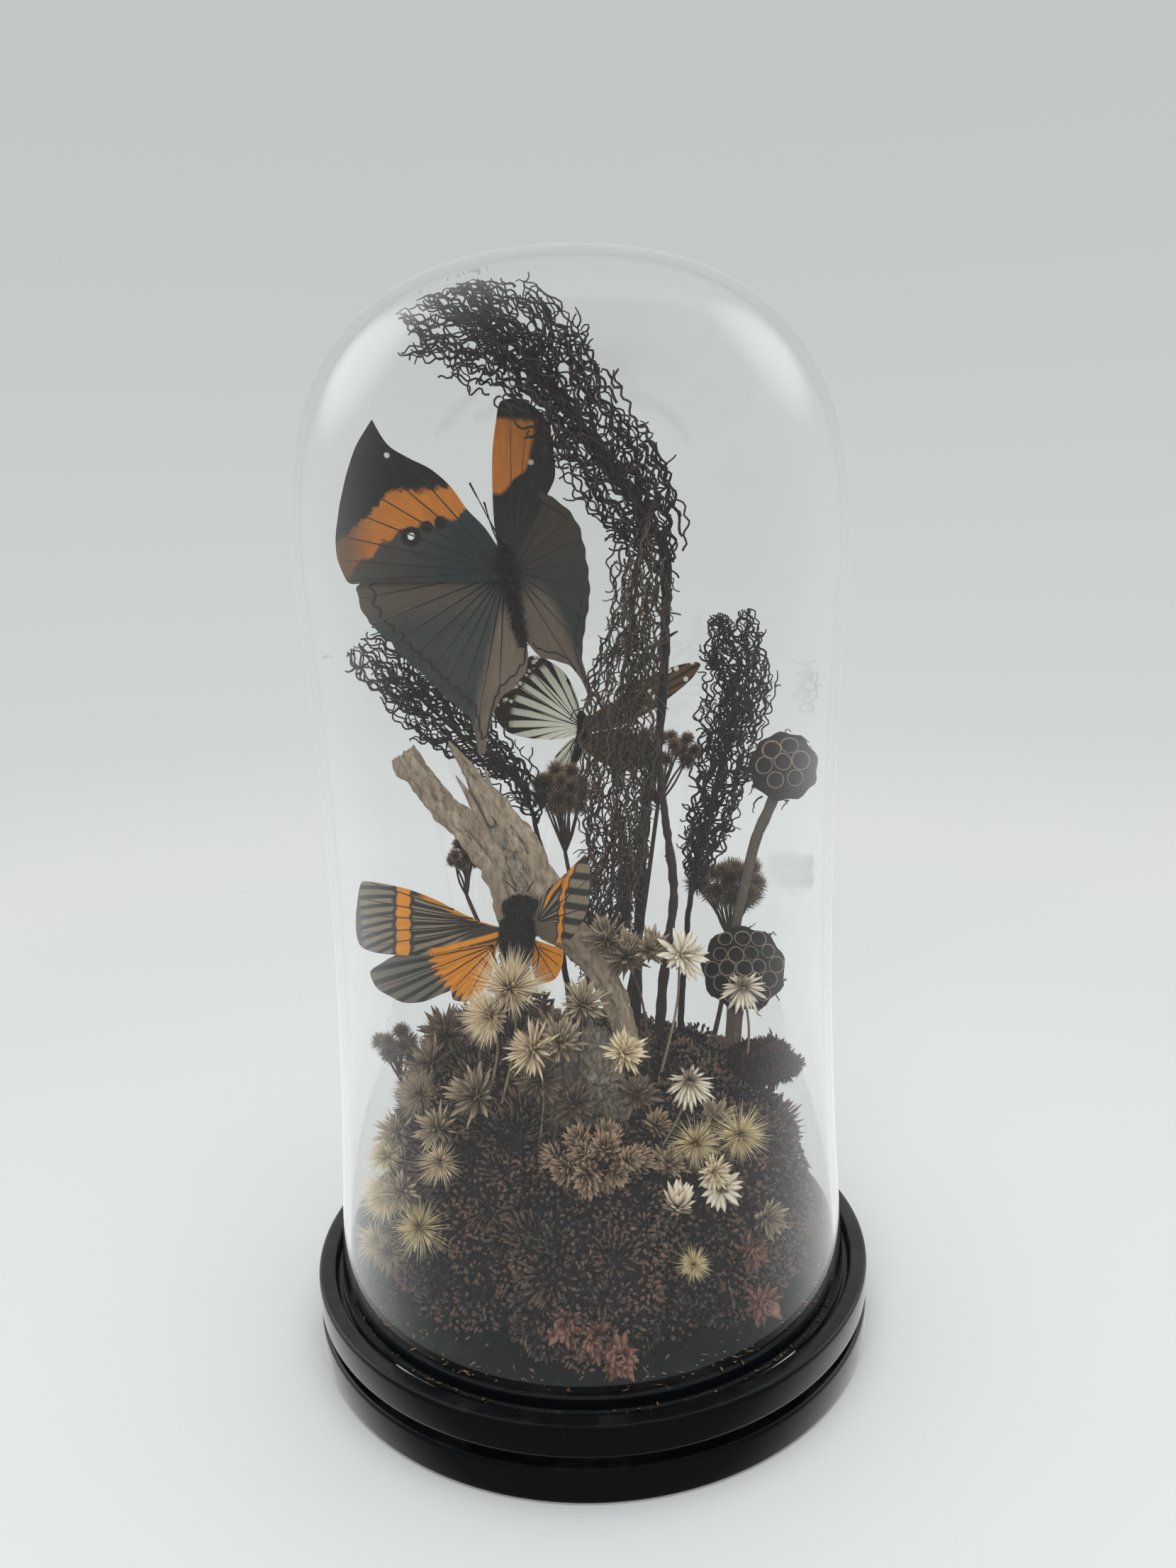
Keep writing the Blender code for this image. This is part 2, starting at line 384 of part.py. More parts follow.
def lump(centre, half, detail, roundness=2.0):
    """A bmesh shaped as an egg, or squarer where roundness is above 2."""
    mesh = bmesh.new()
    bmesh.ops.create_icosphere(mesh, subdivisions=detail, radius=1.0)
    for point in mesh.verts:
        point.co /= sum(abs(along) ** roundness for along in point.co) ** (1.0 / roundness)
    bmesh.ops.transform(mesh, verts=mesh.verts,
                        matrix=Matrix.Translation(centre) @ Matrix.Diagonal((*half, 1.0)))
    return mesh


def flower_mass(name, centre, half, cuts):
    """A heap of dried flower heads, cut flat where it meets its neighbours and the platform."""
    mesh = lump(centre, half, 3, MASS_ROUNDNESS)
    floor = ((0.0, 0.0, PLATFORM), (0.0, 0.0, -1.0))
    for point, normal in cuts + [floor]:
        bmesh.ops.bisect_plane(mesh, geom=mesh.verts[:] + mesh.edges[:] + mesh.faces[:], dist=0.0001,
                               plane_co=point, plane_no=normal, clear_outer=True)
        rim = [edge for edge in mesh.edges if edge.is_boundary]
        bmesh.ops.holes_fill(mesh, edges=rim, sides=0)
    bmesh.ops.triangulate(mesh, faces=[face for face in mesh.faces if len(face.verts) > 4])
    return place_mesh(name, mesh)


def main():
    """Build every piece, all standing on one empty at the base's underside."""
    for thing in list(bpy.data.objects):
        bpy.data.objects.remove(thing, do_unlink=True)
    bpy.context.collection.objects.link(bpy.data.objects.new("arrangement", None))
    turned("base", base_profile())
    turned("glass_dome", glass_outline(0.0) + glass_outline(GLASS_WALL)[::-1])
    for name, (joint, lean, outline) in WINGS.items():
        wing(name, joint, lean, outline)
    for name, (sides, stations) in LIMBS.items():
        limb(name, sides, stations)
    for name, (centre, half, cuts) in MASSES.items():
        flower_mass(name, centre, half, cuts)
    for name, (centre, half, foot) in STALKED.items():
        stalked_head(name, centre, half, foot)
    for name, (centre, half) in SEATED.items():
        place_mesh(name, lump((0.0, 0.0, 0.0), half, 2), centre)


main()
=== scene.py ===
"""Three mounted insects among dried flowers on a turned black base, under a glass bell.

Sizes in the classes below are in millimetres and become metres when a mesh is made. +Z is up, the
origin is the middle of the base's underside, and the arrangement faces -Y.
"""
import json
import logging
import math
from collections import Counter
from dataclasses import dataclass
from enum import Enum
from typing import Callable, Dict, List, Optional, Sequence, Tuple, Union

import bpy
import numpy as np
from mathutils import Matrix, Vector, noise
from mathutils.bvhtree import BVHTree
from mathutils.geometry import delaunay_2d_cdt

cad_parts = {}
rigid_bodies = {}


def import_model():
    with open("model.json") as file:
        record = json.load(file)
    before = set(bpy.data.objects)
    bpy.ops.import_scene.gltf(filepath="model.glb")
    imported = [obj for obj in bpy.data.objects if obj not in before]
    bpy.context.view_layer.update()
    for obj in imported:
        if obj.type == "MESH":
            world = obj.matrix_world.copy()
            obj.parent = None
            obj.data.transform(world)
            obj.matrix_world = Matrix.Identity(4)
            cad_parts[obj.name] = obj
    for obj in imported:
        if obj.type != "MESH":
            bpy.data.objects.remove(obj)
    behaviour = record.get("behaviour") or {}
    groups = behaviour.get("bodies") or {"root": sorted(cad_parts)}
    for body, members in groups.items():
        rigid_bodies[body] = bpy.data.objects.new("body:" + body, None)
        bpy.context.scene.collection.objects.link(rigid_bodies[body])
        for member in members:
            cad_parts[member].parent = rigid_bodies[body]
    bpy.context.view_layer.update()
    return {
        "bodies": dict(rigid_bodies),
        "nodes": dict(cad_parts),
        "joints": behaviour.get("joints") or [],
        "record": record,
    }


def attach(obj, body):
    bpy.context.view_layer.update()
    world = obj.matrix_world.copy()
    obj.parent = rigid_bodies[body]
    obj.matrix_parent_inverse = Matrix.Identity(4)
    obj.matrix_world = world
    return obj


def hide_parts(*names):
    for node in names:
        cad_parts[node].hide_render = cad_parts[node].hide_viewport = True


LOG = logging.getLogger("arrangement")
METRES = 0.001
ROOT = "root"
Colour = Tuple[float, float, float]
Vec = Tuple[float, float, float]
Station = Tuple[float, float, float, float, float]
Outline = Sequence[Tuple[float, float]]
Array = np.ndarray
Object = bpy.types.Object


# ---------------------------------------------------------------------------------------------
# Materials
# ---------------------------------------------------------------------------------------------

class Socket:
    """One value or colour in a material. Python's operators on it add the nodes for the sum."""

    def __init__(self, graph: "Graph", link: bpy.types.NodeSocket) -> None:
        """Keep the graph, and the node socket that the value comes from."""
        self.graph = graph
        self.link = link

    def __add__(self, other: "Value") -> "Socket":
        """Give self + other."""
        return self.graph.math("ADD", self, other)

    def __radd__(self, other: "Value") -> "Socket":
        """Give other + self."""
        return self.graph.math("ADD", other, self)

    def __sub__(self, other: "Value") -> "Socket":
        """Give self - other."""
        return self.graph.math("SUBTRACT", self, other)

    def __rsub__(self, other: "Value") -> "Socket":
        """Give other - self."""
        return self.graph.math("SUBTRACT", other, self)

    def __mul__(self, other: "Value") -> "Socket":
        """Give self * other."""
        return self.graph.math("MULTIPLY", self, other)

    def __rmul__(self, other: "Value") -> "Socket":
        """Give other * self."""
        return self.graph.math("MULTIPLY", other, self)

    def __truediv__(self, other: "Value") -> "Socket":
        """Give self / other."""
        return self.graph.math("DIVIDE", self, other)

    def __neg__(self) -> "Socket":
        """Give -self."""
        return self.graph.math("MULTIPLY", self, -1.0)


Value = Union[float, Socket]


class Graph:
    """The nodes of one material or world, built from expressions."""

    def __init__(self, name: str, world: bool = False) -> None:
        """Start a material that holds one Principled shader, or a world with its background.

        Args:
            name: the material's or the world's name.
            world: whether it is a world.
        """
        self.material = (bpy.data.worlds if world else bpy.data.materials).new(name)
        self.material.use_nodes = True
        self.tree = self.material.node_tree
        self.shader = self.tree.nodes["Background" if world else "Principled BSDF"]

    def node(self, kind: str, settings: Dict[str, object], inputs: Dict[Union[int, str], object],
             output: Union[int, str] = 0) -> Socket:
        """Add one node.

        Args:
            kind: the node's type.
            settings: its own settings; "stops" fills a ramp and "points" fills a curve.
            inputs: values or sockets for its inputs.
            output: which of its outputs is wanted.

        Returns:
            That output.
        """
        made = self.tree.nodes.new(kind)
        for name, value in settings.items():
            if name == "stops":
                self.fill_ramp(made, value)
            elif name == "points":
                self.fill_curve(made, value)
            else:
                setattr(made, name, value)
        for name, value in inputs.items():
            if isinstance(value, Socket):
                self.tree.links.new(value.link, made.inputs[name])
            else:
                made.inputs[name].default_value = value
        return Socket(self, made.outputs[output])

    @staticmethod
    def fill_ramp(made: bpy.types.Node, stops: Sequence[Tuple[float, Colour]]) -> None:
        """Put the stops on a colour ramp.

        Args:
            made: the ramp.
            stops: the place, from 0 to 1, and the colour of each.
        """
        elements = made.color_ramp.elements
        while len(elements) < len(stops):
            elements.new(0.5)
        for element, (place, colour) in zip(elements, stops):
            element.position = place
            element.color = (*colour, 1.0)

    @staticmethod
    def fill_curve(made: bpy.types.Node, points: Outline) -> None:
        """Put the points on a float curve.

        Args:
            made: the curve.
            points: its points (x, y), each from 0 to 1.
        """
        curve = made.mapping.curves[0]
        while len(curve.points) < len(points):
            curve.points.new(0.5, 0.5)
        for point, place in zip(curve.points, points):
            point.location = place
        made.mapping.update()

    def math(self, operation: str, first: Value, second: Value = 0.0) -> Socket:
        """Add a Math node and give its result."""
        return self.node("ShaderNodeMath", {"operation": operation}, {0: first, 1: second})

    def spot(self) -> Socket:
        """Give the place on the piece, in millimetres."""
        place = self.node("ShaderNodeTexCoord", {}, {}, "Object")
        return self.scaled(place, (1000.0, 1000.0, 1000.0))

    def seen(self, ray: str) -> Socket:
        """Give 1 to one kind of ray, and 0 to the others."""
        return self.node("ShaderNodeLightPath", {}, {}, ray)

    def scaled(self, vector: Socket, by: Vec) -> Socket:
        """Give a vector with each of its parts scaled."""
        return self.node("ShaderNodeVectorMath", {"operation": "MULTIPLY"}, {0: vector, 1: by})

    def joined(self, x: Value, y: Value, z: Value = 0.0) -> Socket:
        """Give the vector (x, y, z)."""
        return self.node("ShaderNodeCombineXYZ", {}, {0: x, 1: y, 2: z})

    def part(self, vector: Socket, axis: int) -> Socket:
        """Give one part of a vector."""
        return self.node("ShaderNodeSeparateXYZ", {}, {0: vector}, axis)

    def attribute(self, name: str) -> Socket:
        """Give a number stored on the mesh."""
        return self.node("ShaderNodeAttribute", {"attribute_name": name}, {}, "Fac")

    def noise(self, vector: Socket, scale: float, detail: float = 3.0) -> Socket:
        """Give soft noise from 0 to 1 at so many bumps per unit of the vector."""
        return self.node("ShaderNodeTexNoise", {},
                         {"Vector": vector, "Scale": scale, "Detail": detail, "Roughness": 0.6})

    def cells(self, vector: Socket, scale: float) -> Socket:
        """Give the distance to the middle of the nearest of many random cells."""
        return self.node("ShaderNodeTexVoronoi", {}, {"Vector": vector, "Scale": scale}, "Distance")

    def step(self, value: Value, low: float, high: float, start: float = 0.0, end: float = 1.0) -> Socket:
        """Give start where value is under low, end where it is over high, and a smooth change between."""
        return self.node("ShaderNodeMapRange", {"interpolation_type": "SMOOTHSTEP"}, {
            "Value": value, "From Min": low, "From Max": high, "To Min": start, "To Max": end})

    def near(self, value: Value, half: Value, low: float, high: float) -> Socket:
        """Give 1 where value is closer to 0 than half, and 0 beyond, softened from low to high."""
        return 1.0 - self.step(self.math("ABSOLUTE", value) - half, low, high)

    def ramp(self, value: Value, stops: Sequence[Tuple[float, Colour]]) -> Socket:
        """Give the colour that value picks from the stops."""
        return self.node("ShaderNodeValToRGB", {"stops": stops}, {0: value}, "Color")

    def mix(self, amount: Value, first: object, second: object, blend: str = "MIX") -> Socket:
        """Mix two colours.

        Args:
            amount: how much of the second, from 0 to 1.
            first: a colour or a socket.
            second: a colour or a socket.
            blend: the way of mixing.

        Returns:
            The mixed colour.
        """
        first, second = ((*tint, 1.0) if isinstance(tint, tuple) else tint for tint in (first, second))
        return self.node("ShaderNodeMix", {"data_type": "RGBA", "blend_type": blend},
                         {0: amount, 6: first, 7: second}, 2)

    def coats(self, colour: object, *layers: Tuple[Value, object]) -> Socket:
        """Lay layers over a colour, one after another.

        Args:
            colour: the lowest colour.
            layers: the amount, from 0 to 1, and the colour of each layer.

        Returns:
            The colour on top.
        """
        for amount, layer in layers:
            colour = self.mix(amount, colour, layer)
        return colour

    def edge(self, value: Socket, points: Outline) -> Socket:
        """Give the height of a curve drawn through points, above value.

        Args:
            value: the place along the curve.
            points: (place, height), both in millimetres, in order of place.

        Returns:
            The height there.
        """
        places = [point[0] for point in points]
        heights = [point[1] for point in points]
        low, span = min(heights), max(max(heights) - min(heights), 0.001)
        start, length = places[0], places[-1] - places[0]
        drawn = [((place - start) / length, (height - low) / span) for place, height in points]
        return self.node("ShaderNodeFloatCurve", {"points": drawn},
                         {"Value": (value - start) / length}) * span + low

    def surface(self, colour: object, roughness: Value, relief: Optional[Socket] = None,
                depth: float = 0.0, fixed: Optional[Dict[str, object]] = None) -> None:
        """Feed the shader.

        Args:
            colour: base colour, a colour or a socket.
            roughness: a number or a socket.
            relief: height from 0 to 1 for the bumps.
            depth: height of the bumps in millimetres.
            fixed: other inputs of the shader and their constant values.
        """
        for name, value in (("Base Color", colour), ("Roughness", roughness)):
            if isinstance(value, Socket):
                self.tree.links.new(value.link, self.shader.inputs[name])
            elif isinstance(value, tuple):
                self.shader.inputs[name].default_value = (*value, 1.0)
            else:
                self.shader.inputs[name].default_value = value
        for name, value in (fixed or {}).items():
            self.shader.inputs[name].default_value = value
        if relief is not None:
            bump = self.node("ShaderNodeBump", {},
                             {"Strength": 1.0, "Distance": depth * METRES, "Height": relief})
            self.tree.links.new(bump.link, self.shader.inputs["Normal"])

    def cleared(self, amount: Socket, tint: Colour = (1.0, 1.0, 1.0)) -> None:
        """Let light straight through.

        Args:
            amount: how much, from 0 to 1.
            tint: the colour that the light takes.
        """
        clear = self.node("ShaderNodeBsdfTransparent", {}, {"Color": (*tint, 1.0)})
        body = Socket(self, self.shader.outputs[0])
        both = self.node("ShaderNodeMixShader", {}, {0: amount, 1: body, 2: clear})
        self.tree.links.new(both.link, self.tree.nodes["Material Output"].inputs["Surface"])


@dataclass(frozen=True)
class Dried:
    """The mottled finish of something dried.

    Attributes:
        name: the finish's name.
        slot: the record's slot that it belongs to.
        stops: colours from the darkest, at a root and as painted shade in a hollow, to the lightest, at a
            tip.
        grain: size of the mottling.
        follow: how far the colour follows the way from root to tip, from 0 to 1.
        spread: how far one flower differs from the next.
        roughness: the surface's roughness.
        depth: height of the bumps.
        stretch: how much finer the mottling is along each axis.
    """
    name: str
    slot: str
    stops: Tuple[Colour, ...]
    grain: float = 1.4
    follow: float = 0.6
    spread: float = 0.25
    roughness: float = 0.8
    depth: float = 0.08
    stretch: Vec = (1.0, 1.0, 1.0)

    def made(self) -> bpy.types.Material:
        """Build the material."""
        graph = Graph(self.name)
        spot = graph.scaled(graph.spot(), self.stretch)
        coarse = graph.noise(spot, 1.0 / self.grain)
        fine = graph.noise(spot, 6.0 / self.grain, 2.0)
        mottle = coarse * 0.65 + fine * 0.35
        level = mottle * (1.0 - self.follow) + 0.15 * coarse
        if self.follow > 0.0:
            level = level + graph.attribute("shade") * self.follow
        if self.spread > 0.0:
            level = level + (graph.attribute("kin") - 0.5) * self.spread
        last = len(self.stops) - 1
        colour = graph.ramp(level, [(0.15 + 0.7 * rank / last, stop)
                                    for rank, stop in enumerate(self.stops)])
        graph.surface(colour, self.roughness + (coarse - 0.5) * 0.25, mottle, self.depth,
                      {"Specular IOR Level": 0.35})
        return graph.material


@dataclass(frozen=True)
class Lacquer:
    """Satin black lacquer with fine dust on what faces up."""
    name: str = "black_lacquer"
    slot: str = "black_base"
    black: Colour = (0.0035, 0.0040, 0.0052)
    dust: Colour = (0.16, 0.15, 0.14)

    def made(self) -> bpy.types.Material:
        """Build the material."""
        graph = Graph(self.name)
        spot = graph.spot()
        up = graph.part(graph.node("ShaderNodeNewGeometry", {}, {}, "Normal"), 2)
        facing = graph.step(up, 0.5, 0.95)
        cloud = graph.step(graph.noise(spot, 0.06, 4.0), 0.42, 0.75)
        specks = 1.0 - graph.step(graph.cells(spot, 0.55), 0.05, 0.11)
        film = facing * (cloud * 0.10 + specks * cloud * 0.55)
        smear = graph.noise(graph.scaled(spot, (1.0, 1.0, 3.0)), 0.12, 3.0)
        graph.surface(graph.mix(film, self.black, self.dust),
                      0.17 + smear * 0.16 + film * 0.8, graph.noise(spot, 0.25), 0.02,
                      {"Coat Weight": 0.15, "Coat Roughness": 0.08, "Specular IOR Level": 0.32})
        return graph.material


@dataclass(frozen=True)
class Glass:
    """Clear, faintly green glass. Lamps shine straight through it."""
    name: str = "clear_glass_bell"
    slot: str = "clear_glass"
    tint: Colour = (0.985, 0.995, 0.990)

    def made(self) -> bpy.types.Material:
        """Build the material."""
        graph = Graph(self.name)
        graph.surface(self.tint, 0.0, None, 0.0, {"Transmission Weight": 1.0, "IOR": 1.45})
        graph.cleared(graph.seen("Is Shadow Ray"), self.tint)
        return graph.material


class Plate(Graph):
    """A wing's material, with the places that its pattern is drawn with, in millimetres from the joint."""

    def __init__(self, name: str) -> None:
        """Start the material and read the wing's own map.

        Args:
            name: the material's name.
        """
        super().__init__(name)
        self.flat = self.scaled(self.node("ShaderNodeUVMap", {"uv_map": "plate"}, {}), (100.0, 100.0, 0.0))
        self.out = self.part(self.flat, 0) - 50.0
        self.up = self.part(self.flat, 1) - 50.0
        self.reach = self.apart(self.out, self.up)
        self.turn = self.math("ARCTAN2", self.up, self.out)
        self.wobble = self.noise(self.flat, 0.9, 2.0) - 0.5
        self.streak = self.noise(self.joined(self.turn * 26.0, self.reach * 0.16), 1.0, 4.0)
        self.scales = self.noise(self.flat, 5.0, 2.0)

    def apart(self, across: Socket, over: Socket) -> Socket:
        """Give the length of (across, over)."""
        return self.math("SQRT", across * across + over * over)

    def rays(self, count: float, wide: Value, bend: float = 0.0, phase: float = 0.0) -> Socket:
        """Give dark lines that fan out from the joint.

        Args:
            count: lines per radian.
            wide: their width as a part of their spacing, from 0 to 1.
            bend: how far they curve, in radians at 40 mm.
            phase: where the first one is, in spacings.

        Returns:
            1 on a line and 0 between lines.
        """
        across = (self.turn + self.reach * (bend / 40.0)) * count + phase + self.wobble * 0.10
        return self.near(self.math("FRACT", across) * 2.0 - 1.0, wide, -0.10, 0.10)

    def dot(self, centre: Tuple[float, float], radius: float, soft: float = 0.3) -> Socket:
        """Give a round spot, 1 inside and 0 outside."""
        apart = self.apart(self.out - centre[0], self.up - centre[1]) + self.wobble * 0.4
        return 1.0 - self.step(apart, radius - soft, radius + soft)

    def dots(self, scale: float, low: float, high: float) -> Socket:
        """Give a scatter of soft spots at random places."""
        return 1.0 - self.step(self.cells(self.flat, scale), low, high)


class WingKind(Enum):
    """Which pattern a wing carries. Each value is also the name of the method that draws it."""
    LEAF_FORE = "leaf_fore"
    LEAF_FORE_FAR = "leaf_fore_far"
    LEAF_HIND = "leaf_hind"
    LEAF_HIND_FAR = "leaf_hind_far"
    CICADA_FORE = "cicada_fore"
    CICADA_FORE_NEAR = "cicada_fore_near"
    CICADA_HIND = "cicada_hind"
    TIGER_FORE = "tiger_fore"
    TIGER_TIP = "tiger_tip"


@dataclass(frozen=True)
class WingPaint:
    """The painted scales of one kind of wing."""
    kind: WingKind
    orange: Colour = (0.52, 0.175, 0.026)
    coal: Colour = (0.014, 0.012, 0.011)
    slate: Colour = (0.022, 0.030, 0.033)
    umber: Colour = (0.075, 0.052, 0.038)
    tan: Colour = (0.20, 0.145, 0.105)
    cell: Colour = (0.285, 0.225, 0.150)
    cream: Colour = (0.98, 0.96, 0.80)
    flame: Colour = (0.86, 0.30, 0.012)

    @property
    def name(self) -> str:
        """Give the finish's name."""
        return self.kind.value + "_wing"

    def made(self) -> bpy.types.Material:
        """Build the material."""
        plate = Plate(self.name)
        drawn = getattr(self, self.kind.value)(plate)
        dust = plate.ramp(plate.streak * 0.6 + plate.scales * 0.4, [
            (0.25, (0.35, 0.34, 0.33)), (0.55, (0.95, 0.95, 0.95)), (0.8, (1.45, 1.42, 1.38))])
        dusted = plate.mix(0.2 if self.name.startswith("tiger") else 0.6, drawn, dust, "MULTIPLY")
        plate.surface(dusted, (0.34 if self.name.startswith("cicada") else 0.62) + plate.scales * 0.2,
                      plate.streak * 0.95 + plate.scales * 0.05, 0.04, {"Specular IOR Level": 0.35})
        return plate.material

    def leaf_fore(self, plate: Plate) -> Socket:
        """Slate root, a wide orange band, a black tip and two clear spots."""
        rough = plate.wobble * 2.4 + (plate.streak - 0.5) * 4.4
        upper = plate.edge(plate.out, [(0, 24.5), (12, 21.8), (19, 20.4), (27, 20.6), (33, 15.6), (46, 6)])
        lower = plate.edge(plate.out, [(0, 17.5), (9, 15.2), (14, 13.4), (20, 12.2), (27, 10.2),
                                       (33, 6.0), (46, -4)])
        ripples = plate.math("SINE", plate.out * 1.15) * 0.75
        under = plate.step(plate.up - lower + ripples + rough * 0.5, -0.5, 0.9)
        over = plate.step(plate.up - upper + rough, -0.6, 1.0)
        low = plate.coats(
            self.slate, (plate.step(plate.out + plate.up * 0.4 + rough, 14.0, 33.0), self.umber),
            (plate.step(plate.reach, 4.0, 20.0) * 0.35, (0.030, 0.046, 0.050)))
        band = plate.mix(plate.step(plate.out + rough, 31.0, 41.0) * 0.8, self.orange, self.umber)
        tip = plate.mix(plate.step(plate.out, 30.0, 44.0) * 0.5, self.coal, (0.05, 0.045, 0.042))
        return plate.coats(
            low, (under, band), (over, tip), (plate.dot((23.6, 9.6), 2.5), self.coal),
            (plate.dot((16.0, 12.8), 1.7), self.coal), (plate.dot((19.4, 11.9), 1.5), self.coal),
            (plate.dot((23.6, 9.7), 0.85, 0.2), (0.85, 0.87, 0.85)),
            (plate.dot((28.6, 29.5), 0.65, 0.2), (0.75, 0.70, 0.72)))

    def leaf_fore_far(self, plate: Plate) -> Socket:
        """The same wing seen nearly edge on: the band runs down its outer side."""
        rough = plate.wobble * 2.0 + (plate.streak - 0.5) * 2.0
        inner = plate.edge(plate.up, [(17, -4.0), (20, -1.4), (23, 0.8), (25, 3.2), (30, 4.5),
                                      (38.5, 6.1), (42, 6.6)])
        band = 1.0 - plate.step(plate.out - inner + rough * 0.5, -0.5, 0.7)
        band = band * plate.step(plate.up + rough * 0.4, 18.0, 20.0)
        band = band * (1.0 - plate.step(plate.up + rough * 0.6, 37.8, 39.6))
        return plate.coats((0.030, 0.022, 0.017), (plate.step(plate.up, 2.0, 20.0), self.coal),
                           (band, self.orange), (plate.dot((4.9, 27.4), 0.7, 0.25), (0.55, 0.55, 0.52)))

    def leaf_hind(self, plate: Plate) -> Socket:
        """Slate green with a brown upper part, a darker root and a tan fold by the body."""
        rough = plate.wobble * 3.0
        root = 1.0 - plate.step(plate.reach + rough, 3.0, 15.0)
        edge = plate.edge(plate.up, [(-50, 12.0), (-40, 10.5), (-30, 8.5), (-20, 5.5), (-8, 1.5), (2, -3)])
        fold = 1.0 - plate.step(plate.out - edge + rough * 0.5, -2.2, 1.0)
        return plate.coats(
            (0.046, 0.052, 0.048),
            (plate.step(plate.up + plate.out * 0.10 + rough, -12.0, -3.0), (0.105, 0.080, 0.062)),
            (root * 0.6, (0.030, 0.045, 0.048)), (fold * plate.step(-plate.up, 5.0, 13.0) * 0.85, self.tan))

    def leaf_hind_far(self, plate: Plate) -> Socket:
        """The far hindwing: dark brown above, slate green below, a tan fold low by the body."""
        rough = plate.wobble * 3.0
        edge = plate.edge(plate.up, [(-40, 22.0), (-27, 18.0), (-20, 15.0), (-12, 12.0), (-3, 7.0), (6, 1)])
        fold = 1.0 - plate.step(plate.out - edge + rough * 0.5, -3.0, 1.0)
        return plate.coats(
            (0.038, 0.042, 0.037), (plate.step(plate.up + rough, -8.0, 10.0), (0.058, 0.041, 0.030)),
            (fold * plate.step(-plate.up, 1.0, 9.0) * 0.8, self.tan))

    def cicada_fore(self, plate: Plate) -> Socket:
        """A dark wing with striped cells, an orange cross band, front edge and root stripe."""
        beads = plate.math("SINE", plate.up * 1.9 + 1.0) * 0.5 + 0.5
        cross = plate.out - plate.edge(plate.up, [(-9, 25.2), (-3, 24.6), (4, 24.2), (11, 23.6)])
        cross = cross + plate.wobble * 0.6
        beyond = plate.step(cross, -0.4, 0.4)
        lines = plate.rays(12.5, 0.44, 0.34) * beyond + plate.rays(8.0, 0.46, 0.0, 0.3) * (1.0 - beyond)
        dark = 1.0 - plate.step(plate.reach + plate.wobble * 3.0, 7.0, 13.0)
        front = plate.edge(plate.out, [(0, -0.6), (6, 1.2), (11, 3.6), (18, 7.4), (26, 10.0), (38, 11.6)])
        costa = plate.step(plate.up - front, -1.0, -0.3) * (1.0 - plate.step(plate.out, 17.0, 21.0))
        rear = plate.edge(plate.out, [(0, -3.2), (5, -4.6), (10, -5.8), (18, -7.3), (30, -7.6)])
        stripe = plate.near(plate.up - rear, 0.75, -0.3, 0.3)
        stripe = stripe * (1.0 - plate.step(plate.out + plate.wobble, 16.0, 19.5))
        return plate.coats(
            self.cell, (lines, self.coal), (plate.near(cross, beads * 0.6 + 2.3, -0.5, 0.6), self.coal),
            (plate.near(cross, beads * 0.35 + 1.55, -0.3, 0.35), self.flame), (dark * 0.8, self.coal),
            (plate.math("MAXIMUM", costa * 0.8, stripe), self.flame),
            (plate.step(plate.out, 34.6, 35.8), self.coal))

    def cicada_fore_near(self, plate: Plate) -> Socket:
        """The same wing leaning forward, so that its band runs up along it."""
        beads = plate.math("SINE", plate.up * 1.5) * 0.5 + 0.5
        middle = plate.edge(plate.up, [(-6, 5.6), (-2.8, 6.1), (4.7, 6.9), (11, 7.7), (16.4, 9.3), (22, 12)])
        cross = plate.out - middle + plate.wobble * 0.4
        outer = plate.math("FRACT", plate.up * 0.24 - plate.out * 0.05 + plate.wobble * 0.14)
        beyond = plate.step(cross, -0.3, 0.3)
        lines = plate.near(outer * 2.0 - 1.0, 0.46, -0.12, 0.12) * beyond
        lines = lines + plate.rays(7.0, 0.5) * (1.0 - beyond)
        band = plate.near(cross, beads * 0.40 + 0.30, -0.15, 0.2)
        front = plate.edge(plate.up, [(-5, -1), (3.8, 1.7), (9.2, 4), (13.7, 7.1), (16.5, 9.1), (22, 12)])
        costa = plate.near(plate.out - front, 0.45, -0.25, 0.25)
        costa = costa * plate.step(plate.up, 4.0, 7.0) * (1.0 - plate.step(plate.up, 15.6, 17.0))
        return plate.coats(self.cell, (lines, self.coal),
                           (plate.near(cross, beads * 0.4 + 0.75, -0.35, 0.4), self.coal),
                           (plate.math("MAXIMUM", band, costa), self.flame))

    def cicada_hind(self, plate: Plate) -> Socket:
        """Orange near the body, with a torn edge, and grey with black rays beyond."""
        outer = plate.mix(plate.rays(9.0, 0.42, 0.0, 0.2), (0.170, 0.148, 0.120), self.coal)
        zigzag = plate.math("PINGPONG", plate.turn * 9.0, 0.5) * 5.0
        inside = 1.0 - plate.step(plate.reach + zigzag + plate.wobble * 2.0, 18.6, 19.6)
        warm = plate.mix(plate.rays(9.0, 0.12, 0.0, 0.2) * 0.55, self.flame, (0.22, 0.055, 0.010))
        return plate.mix(inside, outer, warm)

    def tiger_fore(self, plate: Plate) -> Socket:
        """Cream with brown rays that widen to a dark margin with pale spots."""
        rays = plate.rays(5.2, plate.step(plate.reach, 6.0, 27.0) * 0.50 + 0.10, 0.15, 0.25)
        rim = plate.step(plate.reach + plate.wobble * 1.5, 20.5, 22.5)
        return plate.coats(self.cream, (rays, (0.035, 0.020, 0.012)), (rim, (0.045, 0.025, 0.014)),
                           (plate.dots(0.42, 0.22, 0.32) * rim, self.cream))

